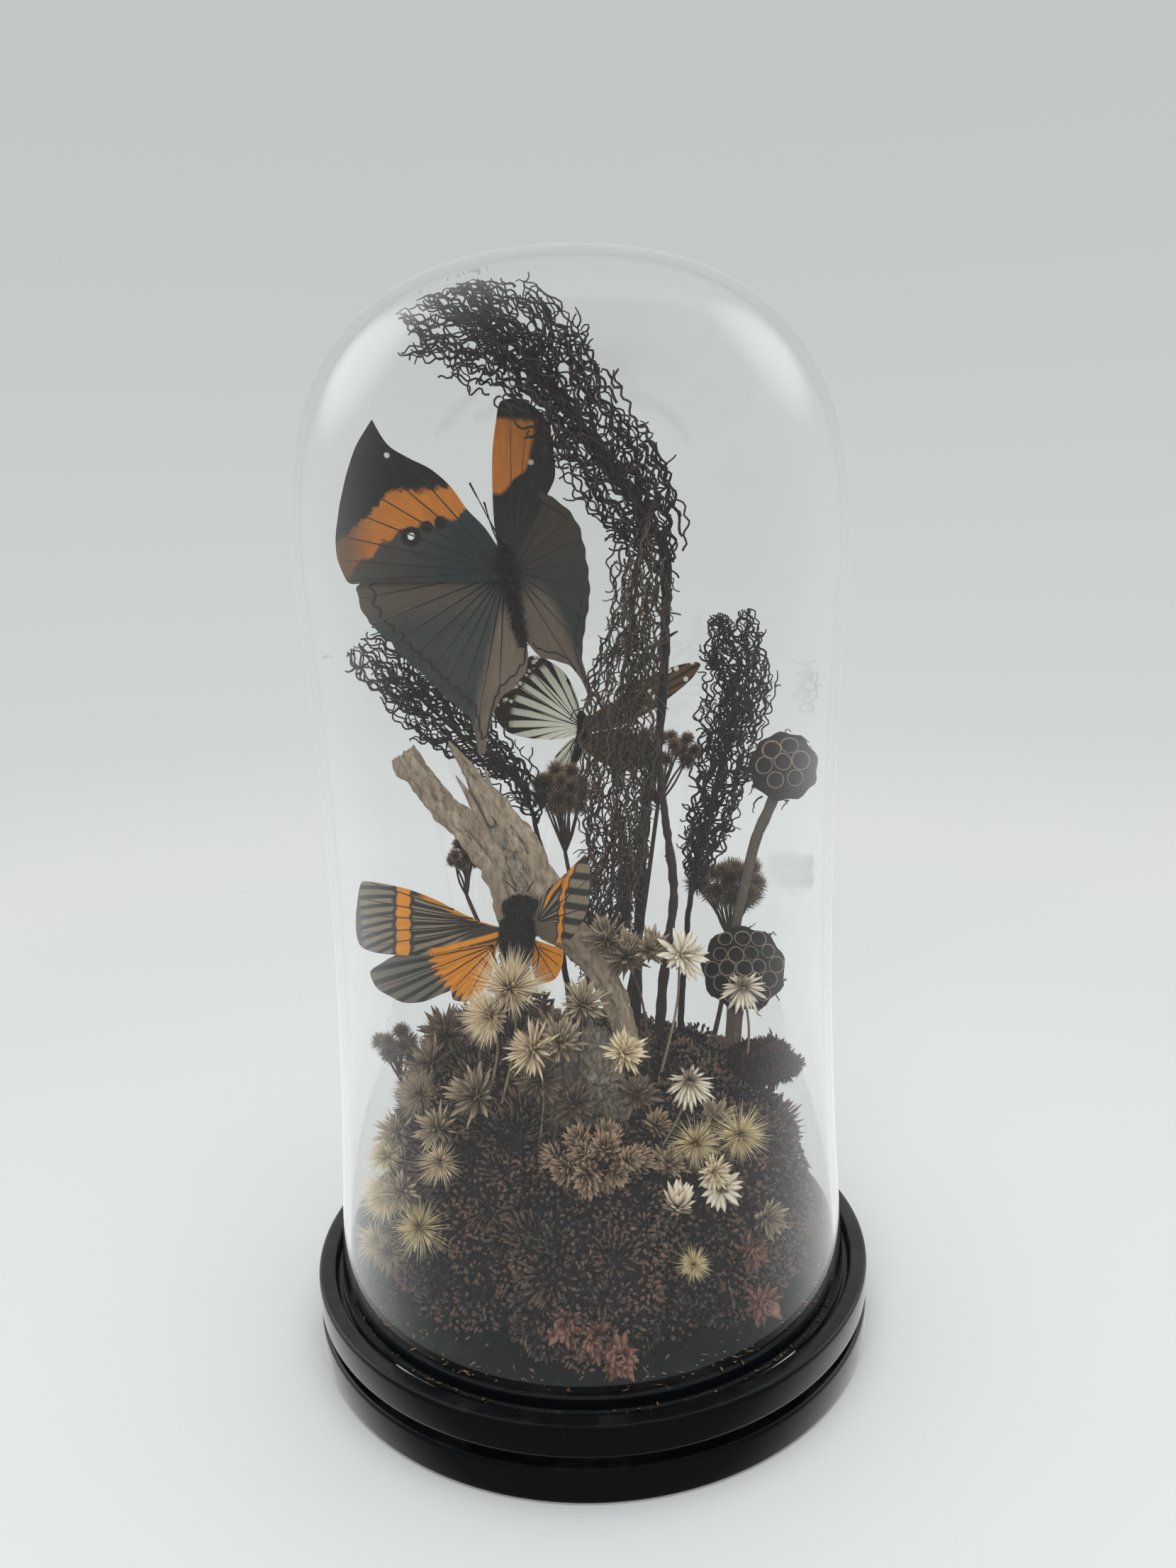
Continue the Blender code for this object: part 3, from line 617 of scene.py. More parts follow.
    def tiger_tip(self, plate: Plate) -> Socket:
        """Warm brown with rows of white spots."""
        spots = plate.dots(0.36, 0.24, 0.34) * plate.step(plate.reach, 8.0, 14.0)
        return plate.coats((0.15, 0.085, 0.045), (plate.rays(14.0, 0.35, 0.0, 0.1), (0.040, 0.022, 0.013)),
                           (spots, self.cream))


# ---------------------------------------------------------------------------------------------
# Modelling
# ---------------------------------------------------------------------------------------------

def deselect() -> None:
    """Leave nothing selected, so that the next operator meets only what it adds."""
    for thing in list(bpy.context.selected_objects):
        thing.select_set(False)


def only(thing: Object) -> Object:
    """Select one object, make it the active one, and give it back."""
    deselect()
    thing.select_set(True)
    bpy.context.view_layer.objects.active = thing
    return thing


def edit_all() -> None:
    """Go into edit mode with everything selected."""
    bpy.ops.object.mode_set(mode="EDIT")
    bpy.ops.mesh.select_all(action="SELECT")


def close_up(threshold: float) -> None:
    """Merge doubles, turn the faces outwards, and leave edit mode.

    Args:
        threshold: points closer than this are merged.
    """
    bpy.ops.mesh.select_all(action="SELECT")
    bpy.ops.mesh.remove_doubles(threshold=threshold)
    bpy.ops.mesh.normals_make_consistent(inside=False)
    bpy.ops.object.mode_set(mode="OBJECT")


def unit(vectors: Array) -> Array:
    """Give the vectors at length one."""
    return vectors / np.maximum(np.linalg.norm(vectors, axis=-1, keepdims=True), 1e-9)


def points_of(mesh: bpy.types.Mesh, value: str = "co") -> Array:
    """Give the places of a mesh's points, or their "normal"."""
    found = np.zeros(len(mesh.vertices) * 3)
    mesh.vertices.foreach_get(value, found)
    return found.reshape(-1, 3)


def corners_of(mesh: bpy.types.Mesh) -> Array:
    """Give the point at each corner of each face."""
    found = np.zeros(len(mesh.loops), np.int32)
    mesh.loops.foreach_get("vertex_index", found)
    return found


def placed(mesh: bpy.types.Mesh) -> Object:
    """Put a mesh in the scene under its own name, selected and active."""
    thing = bpy.data.objects.new(mesh.name, mesh)
    bpy.context.collection.objects.link(thing)
    return only(thing)


def outwards(angle: float) -> None:
    """Turn the active object's faces outwards, and smooth it except at edges sharper than angle."""
    edit_all()
    bpy.ops.mesh.normals_make_consistent(inside=False)
    bpy.ops.object.mode_set(mode="OBJECT")
    bpy.ops.object.shade_smooth_by_angle(angle=math.radians(angle))


@dataclass(frozen=True)
class Shape:
    """A small model that is repeated: its points, its faces, and each point's shade."""
    points: Array
    loops: Array
    sizes: Array
    shade: Array

    @staticmethod
    def taken(thing: Object) -> "Shape":
        """Take the mesh of an object that is then removed."""
        mesh = thing.data
        points = points_of(mesh)
        loops = corners_of(mesh)
        sizes = np.zeros(len(mesh.polygons), np.int32)
        mesh.polygons.foreach_get("loop_total", sizes)
        low, high = points[:, 2].min(), points[:, 2].max()
        bpy.data.objects.remove(thing)
        return Shape(points, loops, sizes, (points[:, 2] - low) / max(high - low, 1e-6))


def grown(sides: int, stations: Sequence[Station]) -> Shape:
    """Model a closed shape by extruding one loop of points from station to station.

    Args:
        sides: points in the loop.
        stations: (x, y, z, half width, half depth) along the shape.

    Returns:
        The shape.
    """
    deselect()
    bpy.ops.mesh.primitive_circle_add(vertices=sides, radius=1.0, fill_type="NGON")
    bpy.ops.object.mode_set(mode="EDIT")
    bpy.ops.mesh.select_all(action="SELECT")
    first = stations[0]
    bpy.ops.transform.resize(value=(first[3], first[4], 1.0), center_override=(0.0, 0.0, 0.0))
    bpy.ops.transform.translate(value=first[:3])
    for before, after in zip(stations, stations[1:]):
        move = tuple(b - a for a, b in zip(before[:3], after[:3]))
        bpy.ops.mesh.extrude_region_move(TRANSFORM_OT_translate={"value": move})
        bpy.ops.transform.resize(value=(after[3] / before[3], after[4] / before[4], 1.0),
                                 center_override=after[:3])
    close_up(1e-5)
    return Shape.taken(bpy.context.object)


def spun(name: str, profile: Outline, steps: int) -> Object:
    """Spin a profile of (radius, height) round Z into a closed, smooth object.

    Args:
        name: the object's name.
        profile: the outline, from the axis to the axis.
        steps: steps in the turn.

    Returns:
        The object, in metres.
    """
    mesh = bpy.data.meshes.new(name)
    points = [(radius * METRES, 0.0, height * METRES) for radius, height in profile]
    mesh.from_pydata(points, [(rank, rank + 1) for rank in range(len(points) - 1)], [])
    thing = placed(mesh)
    edit_all()
    bpy.ops.mesh.spin(steps=steps, angle=math.tau, center=(0.0, 0.0, 0.0), axis=(0.0, 0.0, 1.0))
    close_up(1e-7)
    bpy.ops.object.shade_smooth_by_angle(angle=math.radians(50.0))
    return thing


def rounded(profile: Outline, radius: float, steps: int = 4) -> List[Tuple[float, float]]:
    """Round every corner of a profile except its two ends.

    Args:
        profile: its corners, in order.
        radius: how far from the corner each round starts.
        steps: pieces in each round.

    Returns:
        The rounded profile.
    """
    soft = [tuple(profile[0])]
    for before, corner, after in zip(profile, profile[1:], profile[2:]):
        here = Vector(corner)
        back, ahead = Vector(before) - here, Vector(after) - here
        cut = min(radius, back.length * 0.45, ahead.length * 0.45)
        start, end = here + back.normalized() * cut, here + ahead.normalized() * cut
        for step in range(steps + 1):
            along = step / steps
            back = 1 - along
            soft.append(tuple(start * back ** 2 + here * (2 * along * back) + end * along ** 2))
    soft.append(tuple(profile[-1]))
    return soft


def smooth_line(stations: Sequence[Sequence[float]], between: int) -> Array:
    """Draw a smooth line through stations.

    Args:
        stations: the rows of numbers to pass through.
        between: steps from one station to the next.

    Returns:
        The rows along the line.
    """
    given = np.array(stations, float)
    ends = np.vstack([2 * given[0] - given[1], given, 2 * given[-1] - given[-2]])
    ends[:, 3:] = np.maximum(ends[:, 3:], 0.05)
    line = []
    for rank in range(len(given) - 1):
        a, b, c, d = ends[rank:rank + 4]
        for along in np.arange(between) / between:
            line.append(0.5 * (2 * b + (c - a) * along + (2 * a - 5 * b + 4 * c - d) * along ** 2
                               + (3 * b - a - 3 * c + d) * along ** 3))
    line.append(given[-1])
    return np.array(line)


def bent(places: Sequence[Sequence[float]], between: int) -> Array:
    """Draw a smooth line through places (x, y, z)."""
    return smooth_line([(*place, 1.0, 1.0) for place in places], between)[:, :3]


@dataclass(frozen=True)
class Bell:
    """The sizes of the glass bell, and the room inside it."""
    foot_radius: float = 75.9
    waist_radius: float = 70.8
    shoulder_radius: float = 73.9
    foot: float = 18.3
    top: float = 301.4
    cap: float = 76.8
    roundness: float = 2.56
    wall: float = 2.2
    steps: int = 168

    def radius(self, height: Array) -> Array:
        """Work out the outside radius of the wall.

        Args:
            height: heights under the shoulder.

        Returns:
            The radius at each.
        """
        along = (height - self.foot) / (self.top - self.cap - self.foot)
        return (self.foot_radius * (1 - along) * (1 - 2 * along)
                + self.waist_radius * 4 * along * (1 - along)
                + self.shoulder_radius * along * (2 * along - 1))

    def outline(self, inset: float) -> List[Tuple[float, float]]:
        """Draw the line of the wall.

        Args:
            inset: how far it is inside the outer face.

        Returns:
            The (radius, height) of its points, foot first.
        """
        shoulder = self.top - self.cap
        line = [(float(self.radius(height)) - inset, height)
                for height in np.linspace(self.foot, shoulder, 24)[:-1]]
        for turn in np.linspace(0.0, math.pi / 2, 26):
            across = max(math.cos(turn), 0.0) ** (2.0 / self.roundness)
            up = math.sin(turn) ** (2.0 / self.roundness)
            line.append(((self.shoulder_radius - inset) * across, shoulder + (self.cap - inset) * up))
        line[-1] = (0.0, line[-1][1])
        return line

    def keep_inside(self, points: Array, spare: float = 0.9) -> Array:
        """Draw points that would touch the glass in towards the axis.

        Args:
            points: the places.
            spare: the gap to keep.

        Returns:
            The places, all clear of the glass.
        """
        points = points.copy()
        shoulder = self.top - self.cap
        reach = np.hypot(points[:, 0], points[:, 1])
        low = points[:, 2] < shoulder
        room = self.radius(np.clip(points[:, 2], self.foot, shoulder)) - self.wall - spare
        inward = np.where(low, np.minimum(1.0, room / np.maximum(reach, 1e-6)), 1.0)
        side, tall = self.shoulder_radius - self.wall - spare, self.cap - self.wall - spare
        above = np.maximum(points[:, 2] - shoulder, 0.0)
        full = ((reach / side) ** self.roundness + (above / tall) ** self.roundness) ** (1 / self.roundness)
        shrink = np.where(low, 1.0, 1.0 / np.maximum(full, 1.0))
        points[:, :2] *= (inward * shrink)[:, None]
        points[:, 2] = np.where(low, points[:, 2], shoulder + above * shrink)
        return points


BELL = Bell()


class Heap:
    """Collects many copies of small shapes and makes one mesh of them."""

    def __init__(self) -> None:
        """Start with nothing."""
        self.held: List[Tuple[Array, ...]] = []
        self.count = 0

    def put(self, points: Array, loops: Array, sizes: Array, shade: Array, kin: Array) -> None:
        """Add finished points and faces."""
        self.held.append((points, loops + self.count, sizes, shade, kin))
        self.count += len(points)

    def add(self, shape: Shape, places: Array, frames: Array, kins: Array,
            shades: Tuple[float, float] = (0.0, 1.0)) -> None:
        """Add one copy of a shape at each place.

        Args:
            shape: what is copied.
            places: where each copy's origin goes.
            frames: each copy's 3 by 3 matrix; its columns are where X, Y and Z go, with scale.
            kins: a number for each copy that sets it apart.
            shades: what the shape's shade of 0 and of 1 become.
        """
        total = len(places)
        if not total:
            return
        corners = len(shape.points)
        points = np.einsum("mij,vj->mvi", frames, shape.points) + places[:, None, :]
        loops = shape.loops[None, :] + corners * np.arange(total)[:, None]
        low, high = shades
        self.put(points.reshape(-1, 3), loops.ravel(), np.tile(shape.sizes, total),
                 np.tile(low + (high - low) * shape.shade, total), np.repeat(kins, corners))

    def tube(self, line: Array, radii: Array, sides: int, kin: float = 0.5,
             shades: Tuple[float, float] = (0.0, 1.0), flat: Vec = (0.0, 1.0, 0.0)) -> None:
        """Add a closed round rod along a line.

        Args:
            line: the points along it.
            radii: its radius at each point.
            sides: sides of the rod.
            kin: the number that sets it apart.
            shades: its shade at its start and at its end.
            flat: a direction that the rod doesn't run along.
        """
        total = len(line)
        ahead = unit(np.gradient(line, axis=0))
        side = unit(np.cross(ahead, np.array(flat)))
        over = np.cross(side, ahead)
        turns = math.tau * np.arange(sides) / sides
        ring = (side[:, None, :] * np.cos(turns)[None, :, None]
                + over[:, None, :] * np.sin(turns)[None, :, None])
        points = (line[:, None, :] + ring * radii[:, None, None]).reshape(-1, 3)
        corner = np.arange(sides)
        quad = np.stack([corner, (corner + 1) % sides, (corner + 1) % sides + sides, corner + sides], 1)
        quads = (quad[None, :, :] + (sides * np.arange(total - 1))[:, None, None]).reshape(-1)
        caps = np.concatenate([corner[::-1], corner + sides * (total - 1)])
        sizes = np.concatenate([np.full(sides * (total - 1), 4), [sides, sides]])
        shade = np.repeat(np.linspace(shades[0], shades[1], total), sides)
        self.put(points, np.concatenate([quads, caps]), sizes, shade, np.full(len(points), kin))

    def mesh(self, name: str) -> bpy.types.Mesh:
        """Make the mesh, in metres, with its shade and kin stored on its points.

        Args:
            name: the mesh's name.

        Returns:
            The mesh.
        """
        points, loops, sizes, shades, kins = (np.concatenate(held) for held in zip(*self.held))
        points = BELL.keep_inside(points)
        mesh = bpy.data.meshes.new(name)
        mesh.vertices.add(len(points))
        mesh.vertices.foreach_set("co", (points * METRES).astype(np.float32).ravel())
        mesh.loops.add(len(loops))
        mesh.loops.foreach_set("vertex_index", loops.astype(np.int32))
        mesh.polygons.add(len(sizes))
        starts = np.concatenate([[0], np.cumsum(sizes)[:-1]])
        mesh.polygons.foreach_set("loop_start", starts.astype(np.int32))
        mesh.polygons.foreach_set("use_smooth", np.ones(len(sizes), bool))
        for label, values in (("shade", shades), ("kin", kins)):
            stored = mesh.attributes.new(label, "FLOAT", "POINT")
            stored.data.foreach_set("value", values.astype(np.float32))
        mesh.update(calc_edges=True)
        mesh.validate()
        return mesh


class Workshop:
    """Shared shapes and finishes, and the one way in which a piece is handed over."""

    def __init__(self, frame: Dict[str, object]) -> None:
        """Model the small shapes.
        """
        self.nodes: Dict[str, Object] = frame["nodes"]
        self.rng = np.random.default_rng(20260)
        self.finished: Dict[str, bpy.types.Material] = {}
        self.bristle = grown(3, [(0, 0, 0, 1.0, 1.0), (0, 0.06, 0.55, 0.75, 0.75), (0, 0.2, 1, 0.12, 0.12)])
        self.petal = grown(4, [(0, 0, 0, 0.45, 0.7), (0, 0.04, 0.35, 0.95, 1.0),
                               (0, 0.12, 0.7, 0.9, 0.8), (0, 0.26, 1.0, 0.12, 0.2)])
        self.curl = grown(4, [(0, 0, 0, 0.5, 0.7), (0, 0.05, 0.3, 0.9, 1.0), (0, 0.2, 0.62, 1.0, 0.9),
                              (0, 0.46, 0.84, 0.75, 0.7), (0, 0.72, 0.92, 0.15, 0.2)])
        self.husk = grown(4, [(0, 0, 0, 0.4, 0.7), (0, 0.10, 0.40, 1.0, 1.0), (0, 0.12, 0.72, 0.80, 0.8),
                              (0, 0.04, 1.0, 0.10, 0.2)])
        self.scale = grown(4, [(0, 0, 0, 0.5, 0.6), (0, 0.1, 0.4, 1.0, 1.0), (0, 0.06, 1.0, 0.10, 0.15)])
        self.bud = grown(4, [(0, 0, 0, 0.35, 0.35), (0, 0, 0.5, 0.75, 0.75), (0, 0, 1.0, 0.15, 0.15)])

    def finish(self, kind: object) -> bpy.types.Material:
        """Give a finish's material, made once."""
        if kind.name not in self.finished:
            self.finished[kind.name] = kind.made()
        return self.finished[kind.name]

    def hand_over(self, thing: Object, material: bpy.types.Material, slot: str,
                  *stands_for: str) -> Object:
        """Dress a piece, let it ride, and hide the CAD nodes that it stands for.

        Args:
            thing: the piece.
            material: its material.
            slot: the record's slot of its finish; not used.
            stands_for: the CAD nodes that it replaces.

        Returns:
            The piece.
        """
        thing.data.materials.clear()
        thing.data.materials.append(material)
        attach(thing, ROOT)
        if stands_for:
            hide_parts(*stands_for)
        thing.data.calc_loop_triangles()
        LOG.info("%s: %d triangles", thing.name, len(thing.data.loop_triangles))
        return thing

    def heaped(self, name: str, heap: Heap, kind: Dried, *stands_for: str) -> Object:
        """Make a heap into a piece of its own and hand it over."""
        return self.hand_over(placed(heap.mesh(name)), self.finish(kind), kind.slot, *stands_for)

    def refined(self, node: str, name: str, levels: int,
                shaping: Callable[[Array, Array], Array]) -> Object:
        """Copy a CAD solid, subdivide it and push its points in or out.

        Args:
            node: the CAD node.
            name: the new piece's name.
            levels: levels of subdivision.
            shaping: gives how far out each point goes, from points and normals.

        Returns:
            The new piece.
        """
        thing = bpy.data.objects.new(name, self.nodes[node].data.copy())
        bpy.context.collection.objects.link(thing)
        only(thing)
        edit_all()
        close_up(1e-6)
        rounding = thing.modifiers.new("rounding", "SUBSURF")
        rounding.levels = levels
        rounding.render_levels = levels
        bpy.ops.object.modifier_apply(modifier=rounding.name)
        points = points_of(thing.data) / METRES
        normals = points_of(thing.data, "normal")
        points = points + normals * shaping(points, normals)[:, None]
        thing.data.vertices.foreach_set("co", (points * METRES).astype(np.float32).ravel())
        thing.data.shade_smooth()
        thing.data.update()
        return thing

    def flesh(self, node: str) -> BVHTree:
        """Give a search tree of a CAD node's faces, in metres."""
        mesh = self.nodes[node].data
        return BVHTree.FromPolygons([point.co for point in mesh.vertices],
                                    [tuple(face.vertices) for face in mesh.polygons])


def frames_for(axes: Array, across: Array, wide: Array, deep: Array,
               tall: Array) -> Array:
    """Give the matrices that stand shapes along axes.

    Args:
        axes: where each shape's Z goes.
        across: about where its X goes.
        wide: its scale along X.
        deep: its scale along Y.
        tall: its scale along Z.

    Returns:
        One 3 by 3 matrix for each.
    """
    axes = unit(axes)
    side = unit(across - axes * np.sum(across * axes, axis=1, keepdims=True) + 1e-7)
    over = np.cross(axes, side)
    return np.stack([side * wide[:, None], over * deep[:, None], axes * tall[:, None]], axis=2)


def ripple(points: Array, scale: Sequence[float], amount: float) -> Array:
    """Give soft noise at each point, from -amount to amount."""
    places = points * np.array(scale)
    return np.array([noise.fractal(Vector(place), 1.0, 2.0, 4) for place in places]) * amount


# ---------------------------------------------------------------------------------------------
# Base, glass and wood
# ---------------------------------------------------------------------------------------------

@dataclass(frozen=True)
class TurnedBase:
    """One turned disc with a shadow groove round its side and a trough for the glass."""
    radius: float = 82.5
    height: float = 22.0
    lower: float = 10.0
    groove: float = 3.0
    groove_radius: float = 78.5
    trough_inner: float = 71.5
    trough_outer: float = 77.5
    trough_depth: float = 4.0
    edge: float = 1.3

    def build(self, shop: Workshop) -> None:
        """Turn the base and lacquer it."""
        floor = self.height - self.trough_depth
        profile = [
            (0.0, 0.0), (self.radius, 0.0), (self.radius, self.lower),
            (self.groove_radius, self.lower), (self.groove_radius, self.lower + self.groove),
            (self.radius, self.lower + self.groove), (self.radius, self.height),
            (self.trough_outer, self.height), (self.trough_outer, floor), (self.trough_inner, floor),
            (self.trough_inner, self.height), (0.0, self.height),
        ]
        kind = Lacquer()
        thing = spun("turned_base", rounded(profile, self.edge), BELL.steps)
        shop.hand_over(thing, shop.finish(kind), kind.slot, "base")


@dataclass(frozen=True)
class GlassBell:
    """The blown glass, as one closed wall."""
    sizes: Bell = BELL

    def build(self, shop: Workshop) -> None:
        """Spin the wall, inside and outside."""
        profile = self.sizes.outline(self.sizes.wall)[::-1] + self.sizes.outline(0.0)
        kind = Glass()
        shop.hand_over(spun("glass_bell", profile, self.sizes.steps), shop.finish(kind), kind.slot,
                       "glass_dome")


DRIFTWOOD = Dried("driftwood_grain", "driftwood", (
    (0.045, 0.032, 0.024), (0.19, 0.140, 0.100), (0.40, 0.315, 0.23), (0.60, 0.50, 0.39)),
    2.6, 0.0, 0.0, 0.85, 0.40, (1.7, 1.7, 0.30))
BARK = Dried("grey_bark", "bark", (
    (0.020, 0.016, 0.012), (0.120, 0.100, 0.078), (0.42, 0.365, 0.295), (0.58, 0.51, 0.42)),
    1.5, 0.0, 0.0, 0.9, 0.7, (1.3, 1.3, 0.6))


class Spine:
    """A smooth line with a half width and half depth at each place, which twigs follow."""

    def __init__(self, stations: Sequence[Station]) -> None:
        """Draw the line through the stations."""
        table = smooth_line(stations, 24)
        self.middle = table[:, :3]
        self.wides, self.deeps = np.maximum(table[:, 3], 0.3), np.maximum(table[:, 4], 0.3)
        steps = np.linalg.norm(np.diff(self.middle, axis=0), axis=1)
        self.along = np.concatenate([[0.0], np.cumsum(steps)])
        self.length = float(self.along[-1])
        ahead = unit(np.gradient(self.middle, self.along, axis=0))
        self.back = unit(np.array([[0.0, 1.0, 0.0]]) - ahead * ahead[:, 1:2])
        self.side = np.cross(self.back, ahead)
        self.ahead = ahead

    def wide(self, along: float) -> float:
        """Give the half width at a place along the line."""
        return float(np.interp(along, self.along, self.wides))

    def deep(self, along: float) -> float:
        """Give the half depth at a place along the line."""
        return float(np.interp(along, self.along, self.deeps))

    def world(self, places: Array) -> Array:
        """Turn places along the spine into places in the arrangement.

        Args:
            places: (along, across, back) in each row.

        Returns:
            The (x, y, z) of each.
        """
        inner = np.clip(places[:, 0], 0.0, self.length)
        found = [np.stack([np.interp(inner, self.along, source[:, part]) for part in range(3)], 1)
                 for source in (self.middle, self.side, self.back, self.ahead)]
        beyond = (places[:, 0] - inner)[:, None]
        return found[0] + found[1] * places[:, 1:2] + found[2] * places[:, 2:3] + found[3] * beyond


@dataclass(frozen=True)
class Branch:
    """One length of driftwood.

    Attributes:
        name: the piece's name.
        kind: its finish.
        stations: its middle line with half width and half depth, from the free end down.
        nodes: the CAD nodes that it stands for.
        blunt: how far the broken end is hollowed.
        sides: points round it.
    """
    name: str
    kind: Dried
    stations: Tuple[Station, ...]
    nodes: Tuple[str, ...] = ()
    blunt: float = 1.6
    sides: int = 44

    def build(self, shop: Workshop) -> None:
        """Draw the rings along the line, weather them and close the ends."""
        spine = Spine(self.stations)
        count = int(spine.length / 0.55)
        along = np.linspace(0.0, spine.length, count)
        turn = np.linspace(0.0, math.tau, self.sides, endpoint=False)
        rings = []
        for place in along:
            level = np.full(self.sides, place)
            rings.append(spine.world(np.column_stack([level, np.cos(turn) * spine.wide(place),
                                                      np.sin(turn) * spine.deep(place)])))
        points = np.concatenate(rings)
        middle = spine.world(np.column_stack([along, along * 0.0, along * 0.0]))
        middle = np.repeat(middle, self.sides, axis=0)
        outward = unit(points - middle)
        skin = np.column_stack([np.tile(np.cos(turn), count) * 2.6, np.tile(np.sin(turn), count) * 2.6,
                                np.repeat(along, self.sides)])
        shift = float(len(self.name))
        grain = ripple(skin + shift, (1.0, 1.0, 0.05), 0.75)
        checks = np.abs(ripple(skin + 40.0 + shift, (0.8, 0.8, 0.035), 1.0))
        swell = ripple(skin + 90.0 + shift, (0.25, 0.25, 0.13), 1.3)
        room = np.minimum(1.0, np.linalg.norm(points - middle, axis=1) / 2.4)
        points = points + outward * ((grain + swell - 1.3 * np.exp(-(checks / 0.055) ** 2)) * room)[:, None]
        start = spine.world(np.array([[0.0, 0.0, 0.0], [self.blunt, 0.0, 0.0]]))
        mouth = points[:self.sides]
        ragged = mouth - spine.ahead[0] * (ripple(mouth, (0.9,) * 3, 1.2))[:, None]
        points[:self.sides] = ragged
        inner = start[0] + (ragged - start[0]) * 0.70 + (start[1] - start[0]) * 0.1
        deep = start[1] + (ragged - start[0]) * 0.45
        end = points[-self.sides:].mean(axis=0)
        points = np.concatenate([deep, inner, points, end[None, :]])
        faces = [tuple(reversed(range(self.sides)))]
        for ring in range(count + 1):
            base = ring * self.sides
            for side in range(self.sides):
                ahead = (side + 1) % self.sides
                faces.append((base + side, base + ahead,
                              base + self.sides + ahead, base + self.sides + side))
        last = (count + 1) * self.sides
        for side in range(self.sides):
            faces.append((last + side, last + (side + 1) % self.sides, len(points) - 1))
        mesh = bpy.data.meshes.new(self.name)
        mesh.from_pydata([tuple(place) for place in points * METRES], [], faces)
        thing = placed(mesh)
        outwards(50.0)
        shop.hand_over(thing, shop.finish(self.kind), self.kind.slot, *self.nodes)


@dataclass(frozen=True)
class Wood:
    """The forked driftwood and the bark-covered stump that it stands on."""
    ridge_depth: float = 1.1
    branches: Tuple[Branch, ...] = (
        Branch("wood_left_fork", DRIFTWOOD, (
            (-49.0, -2.6, 172.9, 3.3, 2.8), (-47.4, -2.8, 170.4, 3.9, 3.2), (-43.6, -3.4, 165.4, 3.8, 3.2),
            (-37.4, -4.6, 157.4, 3.8, 3.2), (-30.0, -6.0, 149.0, 3.8, 3.2), (-24.6, -7.4, 140.8, 3.7, 3.2),
            (-21.4, -8.4, 131.0, 3.8, 3.3), (-18.0, -9.0, 122.0, 4.0, 3.4)), ("driftwood_left_fork",)),
        Branch("wood_right_fork", DRIFTWOOD, (
            (-36.4, 2.2, 174.6, 0.6, 0.7), (-33.0, 1.2, 170.0, 1.5, 1.5), (-28.8, 0.0, 164.0, 2.4, 2.1),
            (-24.0, -1.6, 157.6, 3.1, 2.6), (-18.8, -3.4, 150.0, 3.9, 3.0), (-14.0, -5.4, 143.0, 4.3, 3.2),
            (-8.8, -7.6, 132.2, 4.3, 3.4), (-4.0, -9.4, 123.0, 4.1, 3.4)), ("driftwood_right_fork",), 0.3),
        Branch("wood_shaded", BARK, (
            (-28.6, 1.6, 160.0, 2.4, 1.8), (-24.6, 0.4, 153.0, 4.0, 2.4), (-20.0, -2.4, 145.0, 4.4, 3.0),
            (-14.6, -5.4, 133.0, 4.4, 3.0)), (), 0.5),
        Branch("wood_trunk", DRIFTWOOD, (
            (-15.6, -8.8, 133.0, 5.6, 3.2), (-9.4, -9.6, 128.0, 6.2, 3.8), (-2.2, -10.8, 121.0, 4.8, 3.8),
            (4.6, -12.4, 112.0, 3.8, 3.5), (10.0, -14.0, 100.6, 3.6, 3.4), (13.0, -15.0, 88.0, 3.6, 3.4)),
            ("driftwood_trunk",), 0.5),
    )

    def barked(self, points: Array, normals: Array) -> Array:
        """Upright ridges of bark, broken up."""
        ridges = np.abs(ripple(points, (0.46, 0.46, 0.15), 3.4 * self.ridge_depth))
        lumps = ripple(points + 20.0, (0.12, 0.12, 0.10), 2.2)
        return ridges + lumps + ripple(points + 70.0, (1.1, 1.1, 0.8), 0.9) - 1.6

    def build(self, shop: Workshop) -> None:
        """Carve the branches and the stump."""
        for branch in self.branches:
            branch.build(shop)
        thing = shop.refined("bark_stump", "wood_stump", 5, self.barked)
        shop.hand_over(thing, shop.finish(BARK), BARK.slot, "bark_stump")
        self.splinters(shop)

    @staticmethod
    def splinters(shop: Workshop) -> None:
        """The split end of the right fork: long slivers that stand off it."""
        heap = Heap()
        slivers = (
            ((-36.6, 1.2, 175.6), (-33.8, 0.4, 171.0), (-28.6, -1.6, 161.0), (-24.4, -3.4, 152.0)),
            ((-34.6, -1.8, 166.4), (-31.0, -2.8, 160.4), (-27.4, -4.2, 152.4), (-23.4, -5.6, 143.6)),
            ((-26.4, 0.6, 168.0), (-25.2, -0.6, 162.0), (-22.6, -2.6, 153.0), (-19.0, -4.4, 145.0)))
        for line in slivers:
            way = bent(line, 8)
            along = np.linspace(0.0, 1.0, len(way))
            heap.tube(way, 0.12 + 1.15 * np.sin(math.pi * along * 0.62) ** 0.8, 6, 0.5, (0.4, 0.9))
        shop.heaped("wood_splinters", heap, DRIFTWOOD)


# ---------------------------------------------------------------------------------------------
# Twigs
# ---------------------------------------------------------------------------------------------

DARK_TWIG = Dried("dark_twig_skin", "dark_twig", (
    (0.009, 0.007, 0.007), (0.024, 0.018, 0.017), (0.060, 0.046, 0.040)),
    1.2, 0.25, 0.5, 0.7, 0.05)
BROWN_TWIG = Dried("brown_twig_skin", "brown_twig", (
    (0.022, 0.015, 0.011), (0.055, 0.038, 0.029), (0.125, 0.090, 0.068)),
    1.2, 0.25, 0.5, 0.75, 0.05)


